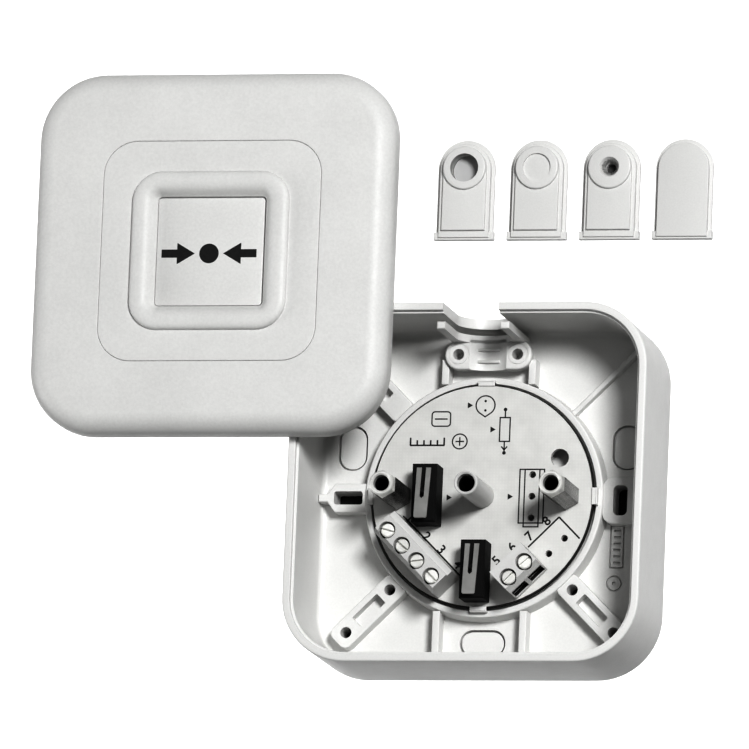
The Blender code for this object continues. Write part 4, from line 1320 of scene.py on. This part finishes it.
def make_insert(node, body, material, shade_sheets):
    """An insert for the cable entry, as it lies beside the box."""
    origin = foot_of(node)
    width, height, _ = size_of(node)
    hub = (0.0, height / 2 - HUB_DROP)
    parts = insert_parts(node, origin, width, height)
    # Painted shade: a darker disc on the ground seen through the bore.
    if node in SHADED_BORES:
        radius, shade = SHADED_BORES[node]
        lay_painted_shade(f"painted_shade_under_{node}", circle(radius, hub), origin, shade_sheets[shade])
    for part in parts:
        open_hub(node, part, hub, origin)
        stands_for(part, body, "insert", material, node)


# CAD nodes that keep their shape


def dress_node(item, material, bevel):
    """Gives a CAD node its material, and its edges a small radius where bevel says so."""
    for slot in item.material_slots:
        slot.material = material
    item.data.shade_smooth()
    if bevel:
        step = item.modifiers.new("edge", "BEVEL")
        step.width = bevel * MM
        step.segments = 2
        step.limit_method = "ANGLE"
        step.angle_limit = radians(50.0)
        step.harden_normals = True


def dress_nodes(nodes, looks):
    """looks: a material, an edge radius, and how the names of its nodes start."""
    for name, item in nodes.items():
        for material, bevel, *starts in looks:
            if name.startswith(tuple(starts)):
                dress_node(item, material, bevel)


def main():
    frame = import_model()
    make_camera()
    lamps = make_lights()
    housing = plastic("housing_plastic", 0.70, 0.42)
    cover = plastic("cover_plastic", 0.66, 0.5, 1500.0, 0.00004, 0.05)
    insert = plastic("insert_plastic", 0.66, 0.4)
    terminal = plastic("terminal_plastic", 0.62, 0.38)
    black = plastic("switch_plastic", 0.004, 0.7)
    tube_plastic = plastic("tube_plastic", 0.62, 0.35)
    board = laminate("board_laminate")
    black_ink = ink("black_ink")
    steel = metal("spring_steel", 0.4, 0.42, (1, 12, 1), metallic=0.4)
    nickel = metal("nickel_plate", 0.8, 0.35, metallic=0.4)
    # Painted shade and reflection: the posts' sides, near-black and streaked; the threads in the bores,
    # near-black.
    drawn = metal("post_side_painted_shade", 0.17, 0.25, contrast=0.6, clouds=(800.0, (1, 1, 0.05)), metallic=0.7)
    thread = metal("thread_painted_shade", 0.05, 0.3)
    zinc = metal("zinc_plate", 0.8, 0.45, (10, 1, 1), metallic=0.15)
    tin = metal("tinned_brass", 0.60, 0.35)
    # Painted shade: the clamp cages, near-black in the wire entries.
    cage = metal("cage_painted_shade", 0.05, 0.5, metallic=0.5)
    make_base(housing)
    make_floor(backdrop_or_painted_shade("floor_paper", 0.96), lamps)
    make_shade(backdrop_or_painted_shade("painted_shade_black", 0.012))
    make_cover_shell(cover)
    make_centre_plate(cover)
    make_button_face(cover)
    make_button_print(black_ink)
    make_button_spring(steel)
    make_board_edge(plastic("board_edge_painted_shade", 0.02, 0.6))
    hex_outline = hexagon(HEX_ACROSS)
    for node in ("hex_post_left", "hex_post_right"):
        make_post(node, hex_outline, HEX_ACROSS / 2 - 0.05, HEX_BORE, "nickel", (drawn, nickel, thread))
    tube_outline = circle(TUBE_RADIUS, sides=len(hex_outline))
    tube_looks = (tube_plastic, tube_plastic, thread)
    make_post("centre_tube", tube_outline, TUBE_RADIUS, TUBE_BORE, "tube", tube_looks)
    # The entries' black linings, in the switches' plastic: painted shade.
    for number in range(1, 7):
        make_entry_shade(number, black)
    make_board_print(black_ink)
    # Discs of painted shade for the ground seen through the bores.
    shade_sheets = {"grey": backdrop_or_painted_shade("painted_shade_grey", 0.5), "dark": backdrop_or_painted_shade("painted_shade_dark", 0.06)}
    for node in ("insert_large_bore", "insert_knock_out", "insert_small_bore", "insert_blank"):
        make_insert(node, node.replace("insert_", ""), insert, shade_sheets)
    dress_nodes(
        frame["nodes"],
        (
            (board, 0.0, "circuit_board"),
            (zinc, 0.0, "post_screw"),
            (black, 0.12, "switch_1_case", "switch_2_case"),
            (steel, 0.1, "switch_1_lever", "switch_2_lever"),
            (black, 0.0, "switch_1_plunger", "switch_2_plunger"),
            (tin, 0.0, "switch_1_pin", "switch_2_pin", "contact_pin"),
            (terminal, 0.12, "terminal_4way", "terminal_2way"),
            (zinc, 0.08, "terminal_screw"),
            (cage, 0.0, "clamp_cage"),
            (cover, 0.1, "alarm_button"),
            (zinc, 0.1, "cover_screw"),
        ),
    )


main()
